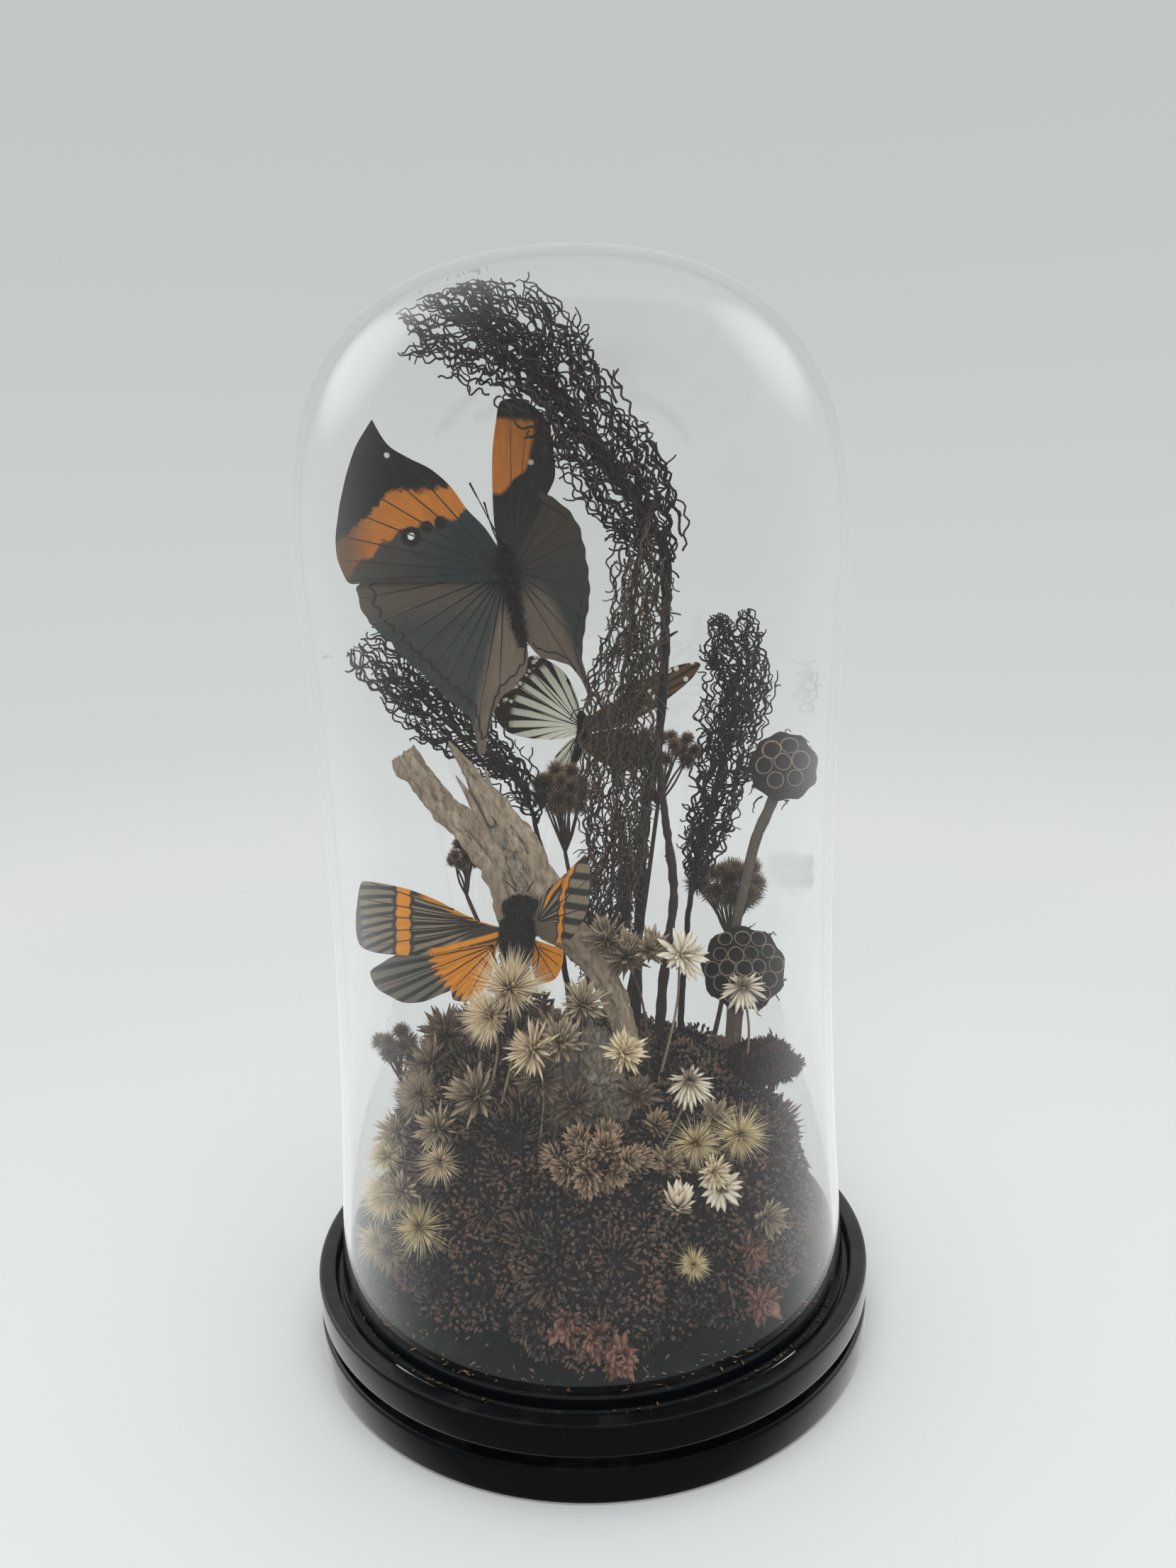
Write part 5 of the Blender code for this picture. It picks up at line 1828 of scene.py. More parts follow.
HEADS = (
    Head("thistle_1", Bloom.THISTLE, CREAM, (-16.6, -43.6, 121.4), 8.2,
         (0.25, -0.55, 0.80), (-24.0, -30.0)),
    Head("thistle_2", Bloom.THISTLE, CREAM, (-24.6, -46.0, 113.0), 6.4,
         (-0.65, -0.60, 0.25), (-28.0, -28.0)),
    Head("thistle_3", Bloom.PAPERY, CREAM, (-13.8, -42.0, 102.0), 7.0,
         (-0.45, -0.70, 0.45), (-14.0, -34.0)),
    Head("thistle_4", Bloom.PAPERY, STRAW, (0.9, -34.0, 111.5), 6.8, (0.2, -0.60, 0.75), (-16.0, -28.0)),
    Head("thistle_5", Bloom.PAPERY, CREAM, (11.8, -38.0, 98.9), 5.8, (0.3, -0.70, 0.50), (19.0, -30.0)),
    Head("papery_low", Bloom.SEEDS, STRAW, (-5.4, -40.0, 104.0), 6.0, (0.1, -0.6, 0.7), (-11.0, -34.0)),
    Head("brown_foot_1", Bloom.SEEDS, TUFT, (-12.6, -32.0, 89.0), 7.0, (-0.2, -0.7, 0.7)),
    Head("brown_foot_2", Bloom.SEEDS, TUFT, (-3.0, -33.0, 82.5), 6.4, (0.0, -0.7, 0.7)),
    Head("brown_foot_3", Bloom.SEEDS, TUFT, (14.6, -31.0, 84.0), 6.4, (0.2, -0.7, 0.7)),
    Head("brown_high", Bloom.SEEDS, TUFT, (-7.0, -28.0, 101.0), 7.0, (0.0, -0.5, 0.8)),
    Head("brown_left_1", Bloom.SEEDS, STRAW, (-30.3, -34.0, 86.0), 8.0, (-0.4, -0.6, 0.6)),
    Head("brown_left_2", Bloom.SEEDS, STRAW, (-46.6, -14.0, 86.0), 8.0, (-0.6, -0.4, 0.6)),
    Head("brown_left_3", Bloom.SEEDS, TUFT, (-42.0, -8.0, 93.0), 7.5, (-0.4, -0.4, 0.8)),
    Head("tan_left_1", Bloom.THISTLE, STRAW, (-47.4, -24.0, 81.0), 6.2, (-0.5, -0.7, 0.5)),
    Head("tan_left_2", Bloom.PAPERY, STRAW, (-40.6, -36.0, 76.3), 6.0, (-0.5, -0.8, 0.3)),
    Head("tan_left_3", Bloom.STAR, CREAM, (-38.1, -44.0, 71.0), 6.0, (-0.3, -0.9, 0.2)),
    Head("tan_left_4", Bloom.PAPERY, STRAW, (-53.6, -28.0, 70.4), 6.0, (-0.6, -0.7, 0.2)),
    Head("tan_left_5", Bloom.THISTLE, YELLOW, (-57.6, -30.0, 52.4), 6.2, (-0.6, -0.8, 0.2)),
    Head("tan_left_6", Bloom.PAPERY, STRAW, (-50.0, -42.0, 61.0), 5.8, (-0.5, -0.8, 0.2)),
    Head("tan_left_7", Bloom.STAR, STRAW, (-53.6, -42.0, 43.0), 5.6, (-0.5, -0.8, 0.1)),
    Head("red_front_1", Bloom.ROSE, ROSY, (-6.0, -61.0, 35.0), 5.6, (-0.1, -0.9, 0.4)),
    Head("red_front_2", Bloom.ROSE, ROSY, (2.4, -62.6, 31.0), 5.8, (0.1, -0.9, 0.3)),
    Head("red_right_1", Bloom.ROSE, ROSY, (44.6, -45.0, 43.6), 5.0, (0.5, -0.8, 0.2)),
    Head("green_right", Bloom.SEEDS, STRAW, (49.0, -41.0, 51.0), 5.2, (0.5, -0.8, 0.2)),
    Head("tan_right_1", Bloom.SEEDS, STRAW, (35.0, -38.0, 79.0), 5.6, (0.2, -0.7, 0.7)),
    Head("tan_right_2", Bloom.PAPERY, CREAM, (33.4, -52.0, 71.4), 4.4, (0.2, -0.9, 0.2)),
    Head("tan_right_3", Bloom.SEEDS, STRAW, (22.6, -43.0, 70.0), 5.2, (0.2, -0.7, 0.7)),
    Head("seed_left", Bloom.SEEDS, STRAW, (5.8, -17.0, 123.6), 6.2, (-0.4, -0.5, 0.7)),
    Head("seed_right", Bloom.SEEDS, STRAW, (20.0, -19.0, 121.0), 6.0, (0.4, -0.5, 0.7)),
    Head("seed_cluster", Bloom.SEEDS, STRAW, (12.1, -16.0, 119.0), 8.0,
         (-0.1, -0.45, 0.90), (18.5, -14.0)),
    Head("straw_flower_1", Bloom.OPEN, PETAL, (27.3, -24.0, 120.3), 6.0,
         (0.25, -0.80, 0.45), (19.0, -16.0)),
    Head("straw_flower_2", Bloom.DROOPING, PETAL, (43.8, -22.0, 110.3), 5.6,
         (-0.1, -0.45, 0.85), (46.0, -4.0)),
    Head("straw_flower_3", Bloom.DROOPING, PETAL, (27.6, -42.0, 92.6), 5.8,
         (-0.15, -0.35, 0.95), (14.0, -38.0)),
    Head("bud_right", Bloom.BUD, SCALED, (19.8, -36.5, 77.8), 4.6, (0.3, -0.50, 0.80)),
    Head("star_1", Bloom.STAR, YELLOW, (29.3, -44.0, 75.2), 7.0, (0.1, -0.95, 0.15)),
    Head("star_2", Bloom.STAR, YELLOW, (40.6, -46.0, 78.7), 7.0, (0.3, -0.90, 0.25)),
    Head("star_3", Bloom.STAR, YELLOW, (27.5, -55.4, 47.6), 4.4, (0.2, -0.95, 0.20)),
    Head("star_left_1", Bloom.STAR, YELLOW, (-43.8, -47.4, 54.0), 7.4, (-0.2, -0.92, 0.30)),
    Head("star_left_2", Bloom.STAR, YELLOW, (-60.6, -28.5, 37.5), 6.2, (-0.6, -0.75, 0.25)),
    Head("star_left_3", Bloom.STAR, YELLOW, (-55.4, -30.4, 65.1), 6.0, (-0.5, -0.80, 0.30)),
    Head("cup_flower", Bloom.CUP, PETAL, (24.0, -50.4, 63.2), 4.6, (0.05, -0.45, 0.90)),
    Head("daisy", Bloom.DAISY, PETAL, (34.9, -50.2, 66.4), 4.6, (0.25, -0.90, 0.30)),
    Head("rosy_front", Bloom.ROSE, ROSY, (8.5, -66.4, 29.0), 5.4, (0.0, -0.85, 0.55)),
    Head("rosy_right", Bloom.ROSE, ROSY, (46.6, -48.8, 31.0), 4.8, (0.4, -0.80, 0.45)),
)


@dataclass(frozen=True)
class Tuft:
    """A cluster of small brown fluffy balls on thin branching stalks.

    Attributes:
        node: the CAD node.
        centre: middle of the cluster.
        half: its half sizes.
        balls: how many balls.
        foot: where its stalk meets the heap.
    """
    node: str
    centre: Vec
    half: Vec
    balls: int
    foot: Tuple[float, float]

    def build(self, shop: Workshop, mound: Mound) -> None:
        """Make the balls and their stalks."""
        rng = shop.rng
        heap = Heap()
        middle, half = np.array(self.centre), np.array(self.half)
        low = np.array([*self.foot, mound.top(*self.foot) - 5.0])
        fork = middle - np.array([0.0, 0.0, half[2] * 2.0]) + (low - middle) * 0.06
        way = bent((low, (low + fork) / 2 + [1.0, 0.5, 0.0], fork), 8)
        heap.tube(way, np.linspace(0.9, 0.6, len(way)), 6, 0.4, (0.05, 0.2))
        for facing in spread(rng, self.balls):
            ball = middle + facing * half * rng.uniform(0.55, 0.95)
            radius = rng.uniform(0.36, 0.5) * float(np.min(half)) + 0.5
            twig = bent((fork, (fork + ball) / 2 + rng.normal(0, 0.6, 3), ball), 5)
            heap.tube(twig, np.linspace(0.4, 0.28, len(twig)), 5, 0.4, (0.05, 0.25))
            hairs = spread(rng, 120)
            lift = unit(hairs + facing * 0.35 + np.array([0.0, 0.0, 0.25]))
            total = len(hairs)
            heap.add(shop.bristle, ball + hairs * radius * 0.25,
                     frames_for(lift, np.cross(lift, hairs + 0.01), rng.uniform(0.13, 0.24, total),
                                rng.uniform(0.13, 0.24, total), radius * rng.uniform(0.7, 1.05, total)),
                     np.full(total, rng.random()), (0.0, 1.0))
        shop.heaped(self.node + "_balls", heap, TUFT, self.node)


TUFTS = (
    Tuft("tuft_centre", (-6.0, 21.4, 156.4), (9.0, 6.2, 7.4), 20, (2.0, 19.4)),
    Tuft("tuft_centre_right", (23.8, 17.4, 168.8), (13.6, 5.0, 5.6), 18, (9.0, 19.0)),
    Tuft("tuft_left", (-36.0, 12.6, 139.0), (4.6, 4.0, 4.8), 8, (-22.4, 11.6)),
    Tuft("tuft_back_right", (46.2, 31.0, 122.6), (13.4, 7.4, 7.4), 22, (38.6, 26.0)),
    Tuft("tuft_left_low", (-53.8, -12.6, 90.4), (6.4, 5.0, 5.0), 10, (-49.0, -13.0)),
)


@dataclass(frozen=True)
class Pod:
    """A seed pod: a woody bowl whose face is a honeycomb of empty cells.

    Attributes:
        node: the CAD node.
        name: the piece's name.
        centre: middle of the bowl.
        radius: of the face.
        depth: of the bowl behind the face.
        axis: where the face looks.
        cell: radius of one cell.
        stalk: places down the stalk, the last at its foot.
        thick: radius of the stalk.
    """
    node: str
    name: str
    centre: Vec
    radius: float
    depth: float
    axis: Vec
    cell: float
    stalk: Tuple[Vec, ...]
    thick: float = 1.4

    def build(self, shop: Workshop, mound: Mound) -> None:
        """Make the bowl, its cells and its stalk."""
        rng = shop.rng
        radius, depth = self.radius, self.depth
        outline = [(radius * across, depth * up) for across, up in (
            (0.0, -1.0), (0.30, -0.96), (0.72, -0.66), (0.98, -0.20), (0.97, 0.10), (0.86, 0.16),
            (0.5, 0.30), (0.0, 0.34))]
        bowl = spun("bowl", rounded(outline, radius * 0.3, 3), 40)
        bowl.data.transform(Matrix.Scale(1.0 / METRES, 4))
        axis = unit(np.array(self.axis))
        turned = frames_for(axis[None, :], np.array([[1.0, 0.1, 0.0]]), *(np.ones(1),) * 3)
        shape = Shape.taken(bowl)
        ridge = 1.0 + 0.045 * np.sin(9 * np.arctan2(shape.points[:, 1], shape.points[:, 0]))
        wrinkled = shape.points * np.stack([ridge, ridge, np.ones(len(ridge))], 1)
        wrinkled = wrinkled + ripple(wrinkled, (0.35,) * 3, 0.5)[:, None] * unit(wrinkled)
        heap = Heap()
        # The bowl's face, seen at the bottom of the open cells, is painted dark as painted shade; its back
        # is lighter.
        shade = np.where(shape.points[:, 2] > depth * 0.05, 0.06, 0.36)
        heap.add(Shape(wrinkled, shape.loops, shape.sizes, shade), np.array([self.centre]), turned,
                 np.array([0.4]))
        self.cells(heap, shop, turned[0])
        middle = np.array(self.centre)
        foot = self.stalk[-1][:2]
        way = bent([middle - axis * depth * 0.7, *self.stalk[:-1], (*foot, mound.top(*foot) - 6)], 8)
        heap.tube(way, np.linspace(self.thick * 1.25, self.thick * 0.9, len(way))
                  * (1 + 0.05 * rng.normal(0, 1, len(way))), 9, 0.6, (0.45, 0.65))
        for turn in rng.uniform(0.0, math.tau, 9):
            side = turned[0] @ np.array([math.cos(turn), math.sin(turn), 0.0])
            start = middle + side * radius * 0.9 - axis * depth * 0.3
            steps = np.cumsum(rng.normal(0.0, 0.5, (7, 3)) + side * 0.3 - axis * 0.35, axis=0)
            heap.tube(start + steps, np.linspace(0.3, 0.16, 7), 4, 0.4)
        shop.heaped(self.name, heap, POD, self.node)

    def cells(self, heap: Heap, shop: Workshop, turned: Array) -> None:
        """Set open cells side by side over the face.

        Args:
            heap: where they go.
            shop: the workshop.
            turned: the matrix that turns the pod's own axes into place.
        """
        rng = shop.rng
        tall = 2.5
        cell = grown(14, [(0, 0, -0.6, 0.70, 0.70), (0, 0, 0.5, 0.88, 0.88), (0, 0, 0.85, 0.98, 0.98),
                          (0, 0, 1.0, 1.10, 1.10), (0, 0, 1.02, 1.03, 1.03), (0, 0, 0.8, 0.86, 0.86),
                          (0, 0, 0.05, 0.62, 0.62)])
        wide = np.hypot(cell.points[:, 0], cell.points[:, 1])
        # Inside each cell the shade is 0, the darkest colour: painted shade in the hollow. Rims are paler,
        # outer walls between.
        shade = np.where(cell.points[:, 2] > 0.95, 0.85, np.where(wide > 0.87, 0.30, 0.0))
        cell = Shape(cell.points, cell.loops, cell.sizes, shade)
        spots, pitch = [], self.cell * 1.86
        for row in range(-4, 5):
            for column in range(-4, 5):
                place = np.array([(column + 0.5 * (row % 2)) * pitch, row * pitch * 0.87])
                place += rng.normal(0.0, self.cell * 0.10, 2)
                if np.hypot(*place) < self.radius - self.cell * 0.95:
                    spots.append(place)
        flat = np.array(spots)
        out = np.hypot(flat[:, 0], flat[:, 1]) / self.radius
        height = self.depth * (0.34 - 0.24 * out ** 2) - 0.3
        local = np.column_stack([flat, height])
        lean = unit(np.column_stack([flat / self.radius * 0.55, np.ones(len(flat))]))
        size = self.cell * rng.uniform(0.86, 1.06, len(flat))
        frames = frames_for(lean @ turned.T, rng.normal(0, 1, lean.shape), size, size * 0.95,
                            tall * rng.uniform(0.8, 1.15, len(flat)))
        heap.add(cell, np.array(self.centre) + local @ turned.T, frames, rng.uniform(0.3, 0.8, len(flat)))


PODS = (
    Pod("lotus_pod_upper", "pod_upper", (57.2, -4.6, 167.4), 9.8, 8.4, (-0.18, -0.86, 0.42), 2.5,
        ((53.6, -0.6, 154.0), (50.2, 2.4, 144.0), (47.4, 6.4, 128.0), (45.4, 11.0, 112.0),
         (43.0, 13.0, 0.0))),
    Pod("lotus_pod_lower", "pod_lower", (46.6, 0.0, 106.6), 12.4, 8.6, (-0.05, -0.88, 0.40), 2.25,
        ((45.4, 3.0, 92.0), (43.6, 1.6, 0.0))),
)


@dataclass(frozen=True)
class Clusters:
    """Scaled buds packed together, and the velvety crest."""
    buds: Vec = (3.4, -47.0, 74.0)
    half: Vec = (14.0, 8.0, 8.6)

    def build(self, shop: Workshop) -> None:
        """Make both."""
        rng = shop.rng
        heap = Heap()
        for facing in spread(rng, 22):
            if facing[1] < 0.35:
                place = np.array(self.buds) + facing * np.array(self.half) * rng.uniform(0.75, 1.0)
                bloom(heap, shop, Bloom.BUD, place, rng.uniform(3.8, 5.0),
                      unit(facing + np.array([0.0, -0.3, 0.55])), 1.15)
        shop.heaped("bud_cluster_scales", heap, SCALED, "bud_cluster")
        thing = shop.refined("cockscomb", "crest_core", 2, lambda points, normals:
                             ripple(points, (0.16,) * 3, 3.4) - 0.8)
        shop.hand_over(thing, shop.finish(CREST), CREST.slot, "cockscomb")
        places = points_of(thing.data) / METRES
        normals = points_of(thing.data, "normal")
        picked = rng.choice(len(places), min(3000, len(places)), replace=False)
        way = unit(normals[picked] + rng.normal(0.0, 0.35, (len(picked), 3)))
        velvet = Heap()
        total = len(picked)
        wide = rng.uniform(0.22, 0.42, total)
        velvet.add(shop.bristle, places[picked], frames_for(way, rng.normal(0, 1, way.shape), wide, wide,
                                                            rng.uniform(0.8, 1.9, total)), rng.random(total))
        shop.heaped("crest_velvet", velvet, CREST)


@dataclass(frozen=True)
class Litter:
    """Bits that fell from the flowers on to the base, and into its trough."""
    count: int = 520
    top: float = 22.0
    trough: float = 18.0

    def build(self, shop: Workshop) -> None:
        """Scatter the bits."""
        rng = shop.rng
        turn = rng.uniform(0.0, math.tau, self.count)
        reach = np.where(rng.random(self.count) < 0.75, 70.6 - rng.exponential(5.0, self.count),
                         rng.uniform(72.1, 72.9, self.count))
        reach = np.clip(reach, 38.0, 72.9)
        height = np.where(reach > 71.4, self.trough, self.top) + rng.uniform(0.05, 0.6, self.count)
        keep = (reach < 70.7) | (reach > 72.0)
        places = np.column_stack([reach * np.cos(turn), reach * np.sin(turn), height])[keep]
        total = len(places)
        way = np.column_stack([rng.normal(0, 1, (total, 2)), rng.normal(0, 0.25, total)])
        wide = rng.uniform(0.10, 0.42, total)
        heap = Heap()
        across = np.tile([[0.1, 0.2, 1.0]], (total, 1))
        heap.add(shop.petal, places,
                 frames_for(way, across, wide * 0.5, wide, rng.uniform(0.5, 2.2, total)),
                 rng.random(total), (0.2, 1.0))
        shop.heaped("fallen_bits", heap, SCALED)


# ---------------------------------------------------------------------------------------------
# Insects
# ---------------------------------------------------------------------------------------------

VEIN = Dried("wing_vein", "insect_body", (
    (0.006, 0.005, 0.005), (0.014, 0.012, 0.011), (0.05, 0.04, 0.035)),
    1.0, 0.0, 0.0, 0.6, 0.02)
FUR = Dried("insect_fur", "insect_body", (
    (0.006, 0.005, 0.005), (0.020, 0.016, 0.014), (0.075, 0.055, 0.040)),
    0.8, 0.35, 0.35, 0.85, 0.05)


@dataclass(frozen=True)
class Wing:
    """One wing.

    Attributes:
        node: the CAD node that gives its outline and lean.
        kind: its pattern.
        slot: the record's slot of its finish.
        joint: where it meets the body.
        veins: angles of its veins at the joint, in degrees from straight out.
        camber: how far it bows towards the viewer.
        pleat: depth of the folds along its veins.
        thick: radius of a vein at its root.
        wave: depth of the waves in its outer edge.
        fringe: where a wavy line runs, as a part of the way out, or 0 for none.
        tuck: how far the edge by the body is drawn in under it, and how wide that edge is.
        lap: how far the upper edge runs up behind the wing in front.
        lap_end: how far out from the joint it still does, in millimetres.
        spacing: distance between the blade's points.
        wall: thickness of the blade.
    """
    node: str
    kind: WingKind
    slot: str
    joint: Vec
    veins: Tuple[float, ...]
    camber: float = 1.0
    pleat: float = 0.22
    thick: float = 0.26
    wave: float = 0.0
    fringe: float = 0.0
    tuck: Tuple[float, float] = (2.2, 9.0)
    lap: float = 0.0
    lap_end: float = 99.0
    spacing: float = 0.85
    wall: float = 0.30

    def outline(self, shop: Workshop) -> Tuple[Array, Array]:
        """Read the outline of the CAD plate.

        Args:
            shop: the workshop.

        Returns:
            The outline's (X, Z) from the joint, in order, and the plane's (along X, along Z, level).
        """
        thing = bpy.data.objects.new("outline", shop.nodes[self.node].data.copy())
        bpy.context.collection.objects.link(thing)
        only(thing)
        edit_all()
        close_up(1e-6)
        mesh = thing.data
        counts = Counter(pair for face in mesh.polygons if face.normal.y < -0.1 for pair in face.edge_keys)
        ways: Dict[int, List[int]] = {}
        for (a, b), uses in counts.items():
            if uses == 1:
                ways.setdefault(a, []).append(b)
                ways.setdefault(b, []).append(a)
        loop = [next(iter(ways))]
        last = -1
        while True:
            ahead = [spot for spot in ways[loop[-1]] if spot != last]
            last = loop[-1]
            if ahead[0] == loop[0] or len(loop) > len(ways):
                break
            loop.append(ahead[0])
        points = points_of(mesh)[loop] / METRES - np.array(self.joint)
        bpy.data.objects.remove(thing)
        ones = np.column_stack([points[:, 0], points[:, 2], np.ones(len(points))])
        plane = np.linalg.lstsq(ones, points[:, 1], rcond=None)[0]
        return points[:, [0, 2]], plane

    def softened(self, corners: Array) -> Array:
        """Draw the outline as smooth curves that keep its sharp corners.

        Args:
            corners: the outline's corners, in order.

        Returns:
            Its points, evenly spaced.
        """
        total = len(corners)
        line = []
        for rank in range(total):
            a, b, c, d = (corners[(rank + step) % total] for step in (-1, 0, 1, 2))
            start, end = (c - a) * 0.5, (d - b) * 0.5
            flat = [unit(b - a) @ unit(c - b), unit(c - b) @ unit(d - c)]
            start = start * min(1.0, max(0.0, (flat[0] + 0.15) / 0.6))
            end = end * min(1.0, max(0.0, (flat[1] + 0.15) / 0.6))
            gap = np.linalg.norm(c - b)
            start, end = (side * min(1.0, gap / max(np.linalg.norm(side), 1e-6)) for side in (start, end))
            for along in np.linspace(0.0, 1.0, max(int(gap / (self.spacing * 0.8)), 1), endpoint=False):
                two, three = along ** 2, along ** 3
                line.append((2 * three - 3 * two + 1) * b + (three - 2 * two + along) * start
                            + (3 * two - 2 * three) * c + (three - two) * end)
        return np.array(line)

    def depth(self, flat: Array, plane: Array) -> Array:
        """Find how far back places of the wing are.

        Args:
            flat: (X, Z) in each row.
            plane: the slopes and the level of the wing.

        Returns:
            The Y of each.
        """
        reach = np.hypot(flat[:, 0], flat[:, 1])
        turn = np.degrees(np.arctan2(flat[:, 1], np.abs(flat[:, 0]) * self.stretch(plane)))
        veins = np.array(self.veins)
        apart = np.min(np.abs(turn[:, None] - veins[None, :]), axis=1)
        folds = -self.pleat * np.exp(-(apart / 3.2) ** 2) * np.minimum(1.0, reach / 8.0)
        bow = -self.camber * np.sin(np.clip(reach / 38.0, 0.0, 1.0) * math.pi)
        level = 3.0 + self.camber
        wrinkle = np.array([noise.noise(Vector((x * 0.12, z * 0.12, level))) for x, z in flat]) * 0.6
        return plane[0] * flat[:, 0] + plane[1] * flat[:, 1] + plane[2] + folds + bow + wrinkle

    def stood(self, flat: Array, plane: Array) -> Array:
        """Give where places (X, Z) of the wing are in the bell."""
        places = np.column_stack([flat[:, 0], self.depth(flat, plane), flat[:, 1]])
        return BELL.keep_inside(places + np.array(self.joint))

    @staticmethod
    def stretch(plane: Array) -> float:
        """Give how much longer the wing is than it looks from the front, for a gentle lean."""
        return math.hypot(1.0, plane[0]) if abs(plane[0]) < 0.6 else 1.0

    def build(self, shop: Workshop) -> None:
        """Make the blade, its veins and its fringe line."""
        corners, plane = self.outline(shop)
        rim = self.softened(corners)
        middle = rim.mean(axis=0)
        outward = math.copysign(1.0, middle[0])
        near = np.clip(1.0 - rim[:, 0] * outward / self.tuck[1], 0.0, 1.0)
        rim[:, 0] -= outward * self.tuck[0] * near
        near = np.clip((self.lap_end - np.abs(rim[:, 0])) / 12.0, 0.0, 1.0)
        rim[:, 1] += self.lap * near * np.clip((rim[:, 1] + 9.0) / 5.0, 0.0, 1.0)
        if self.wave:
            reach = np.hypot(rim[:, 0], rim[:, 1])
            swing = np.sin(np.cumsum(np.linalg.norm(np.roll(rim, -1, 0) - rim, axis=1)) * 1.1)
            rim = rim - unit(rim) * (self.wave * (0.5 + 0.5 * swing) * (reach > 18.0))[:, None]
        low, high = rim.min(axis=0), rim.max(axis=0)
        rows = [(x + (0.5 * self.spacing if row % 2 else 0.0), z)
                for row, z in enumerate(np.arange(low[1], high[1], self.spacing * 0.866))
                for x in np.arange(low[0], high[0], self.spacing)]
        grid = np.array(rows)
        grid = grid[self.holds(rim, grid)]
        gaps = np.linalg.norm(grid[:, None, :] - rim[None, :, :], axis=2)
        flat = np.vstack([rim, grid[np.min(gaps, axis=1) > self.spacing * 0.5]])
        total = len(rim)
        edges = [(rank, (rank + 1) % total) for rank in range(total)]
        spots, _, faces, *_ = delaunay_2d_cdt([Vector(place) for place in flat], edges, [], 1, 1e-5)
        flat = np.array([tuple(place) for place in spots])
        front = self.stood(flat, plane)
        mesh = bpy.data.meshes.new(self.node + "_blade")
        mesh.from_pydata([tuple(place) for place in front * METRES], [], [tuple(face) for face in faces])
        plate = mesh.uv_layers.new(name="plate")
        out = np.abs(flat[:, 0]) * self.stretch(plane) * np.where(flat[:, 0] * middle[0] < 0, -1.0, 1.0)
        held = np.column_stack([out / 100.0 + 0.5, flat[:, 1] / 100.0 + 0.5])[corners_of(mesh)]
        plate.data.foreach_set("uv", held.astype(np.float32).ravel())
        thing = placed(mesh)
        wall = thing.modifiers.new("wall", "SOLIDIFY")
        wall.thickness = self.wall * METRES
        wall.offset = 0.0
        bpy.ops.object.modifier_apply(modifier=wall.name)
        outwards(45.0)
        shop.hand_over(thing, shop.finish(WingPaint(self.kind)), self.slot, self.node)
        self.ribs(shop, rim, plane)

    @staticmethod
    def holds(rim: Array, places: Array) -> Array:
        """Say which places lie inside the outline.

        Args:
            rim: the outline's points, in order.
            places: the places to test.

        Returns:
            True for each place inside.
        """
        inside = np.zeros(len(places), bool)
        for (x0, z0), (x1, z1) in zip(rim, np.roll(rim, -1, axis=0)):
            crosses = (z0 > places[:, 1]) != (z1 > places[:, 1])
            rise = z1 - z0 if abs(z1 - z0) > 1e-9 else 1e-9
            inside ^= crosses & (places[:, 0] < (x1 - x0) * (places[:, 1] - z0) / rise + x0)
        return inside

    def ribs(self, shop: Workshop, rim: Array, plane: Array) -> None:
        """Lay raised veins over the blade, and a wavy line near its edge.

        Args:
            shop: the workshop.
            rim: the outline.
            plane: the wing's plane.
        """
        heap = Heap()
        side = 1.0 if rim[:, 0].mean() > 0 else -1.0
        for angle in self.veins:
            way = np.array([side * math.cos(math.radians(angle)) / self.stretch(plane),
                            math.sin(math.radians(angle))])
            reach = np.arange(1.0, 60.0, 0.9)
            line = way[None, :] * reach[:, None]
            kept = self.holds(rim, line)
            if kept.sum() < 6:
                continue
            first = int(np.argmax(kept))
            last = first + int(np.argmin(kept[first:])) if not kept[first:].all() else len(kept)
            line = line[first:last]
            radii = np.linspace(self.thick, 0.12, len(line)) + self.wall * 0.25
            heap.tube(self.stood(line, plane), radii, 5, 0.5, (0.0, 0.3), (0.2, 1.0, 0.1))
        if self.fringe:
            wavy = rim * (self.fringe + 0.016 * np.sin(np.arange(len(rim)) * 1.25)[:, None])
            reach = np.hypot(wavy[:, 0], wavy[:, 1])
            wavy = wavy[(reach > 19.0) & self.holds(rim, wavy)]
            gaps = np.linalg.norm(np.diff(wavy, axis=0), axis=1)
            for run in np.split(wavy, np.nonzero(gaps > 3.0)[0] + 1):
                if len(run) > 4:
                    heap.tube(self.stood(run, plane), np.full(len(run), self.wall * 0.5 + 0.20), 5, 0.5,
                              (0.0, 0.2), (0.2, 1.0, 0.1))
        shop.heaped(self.node + "_veins", heap, VEIN)


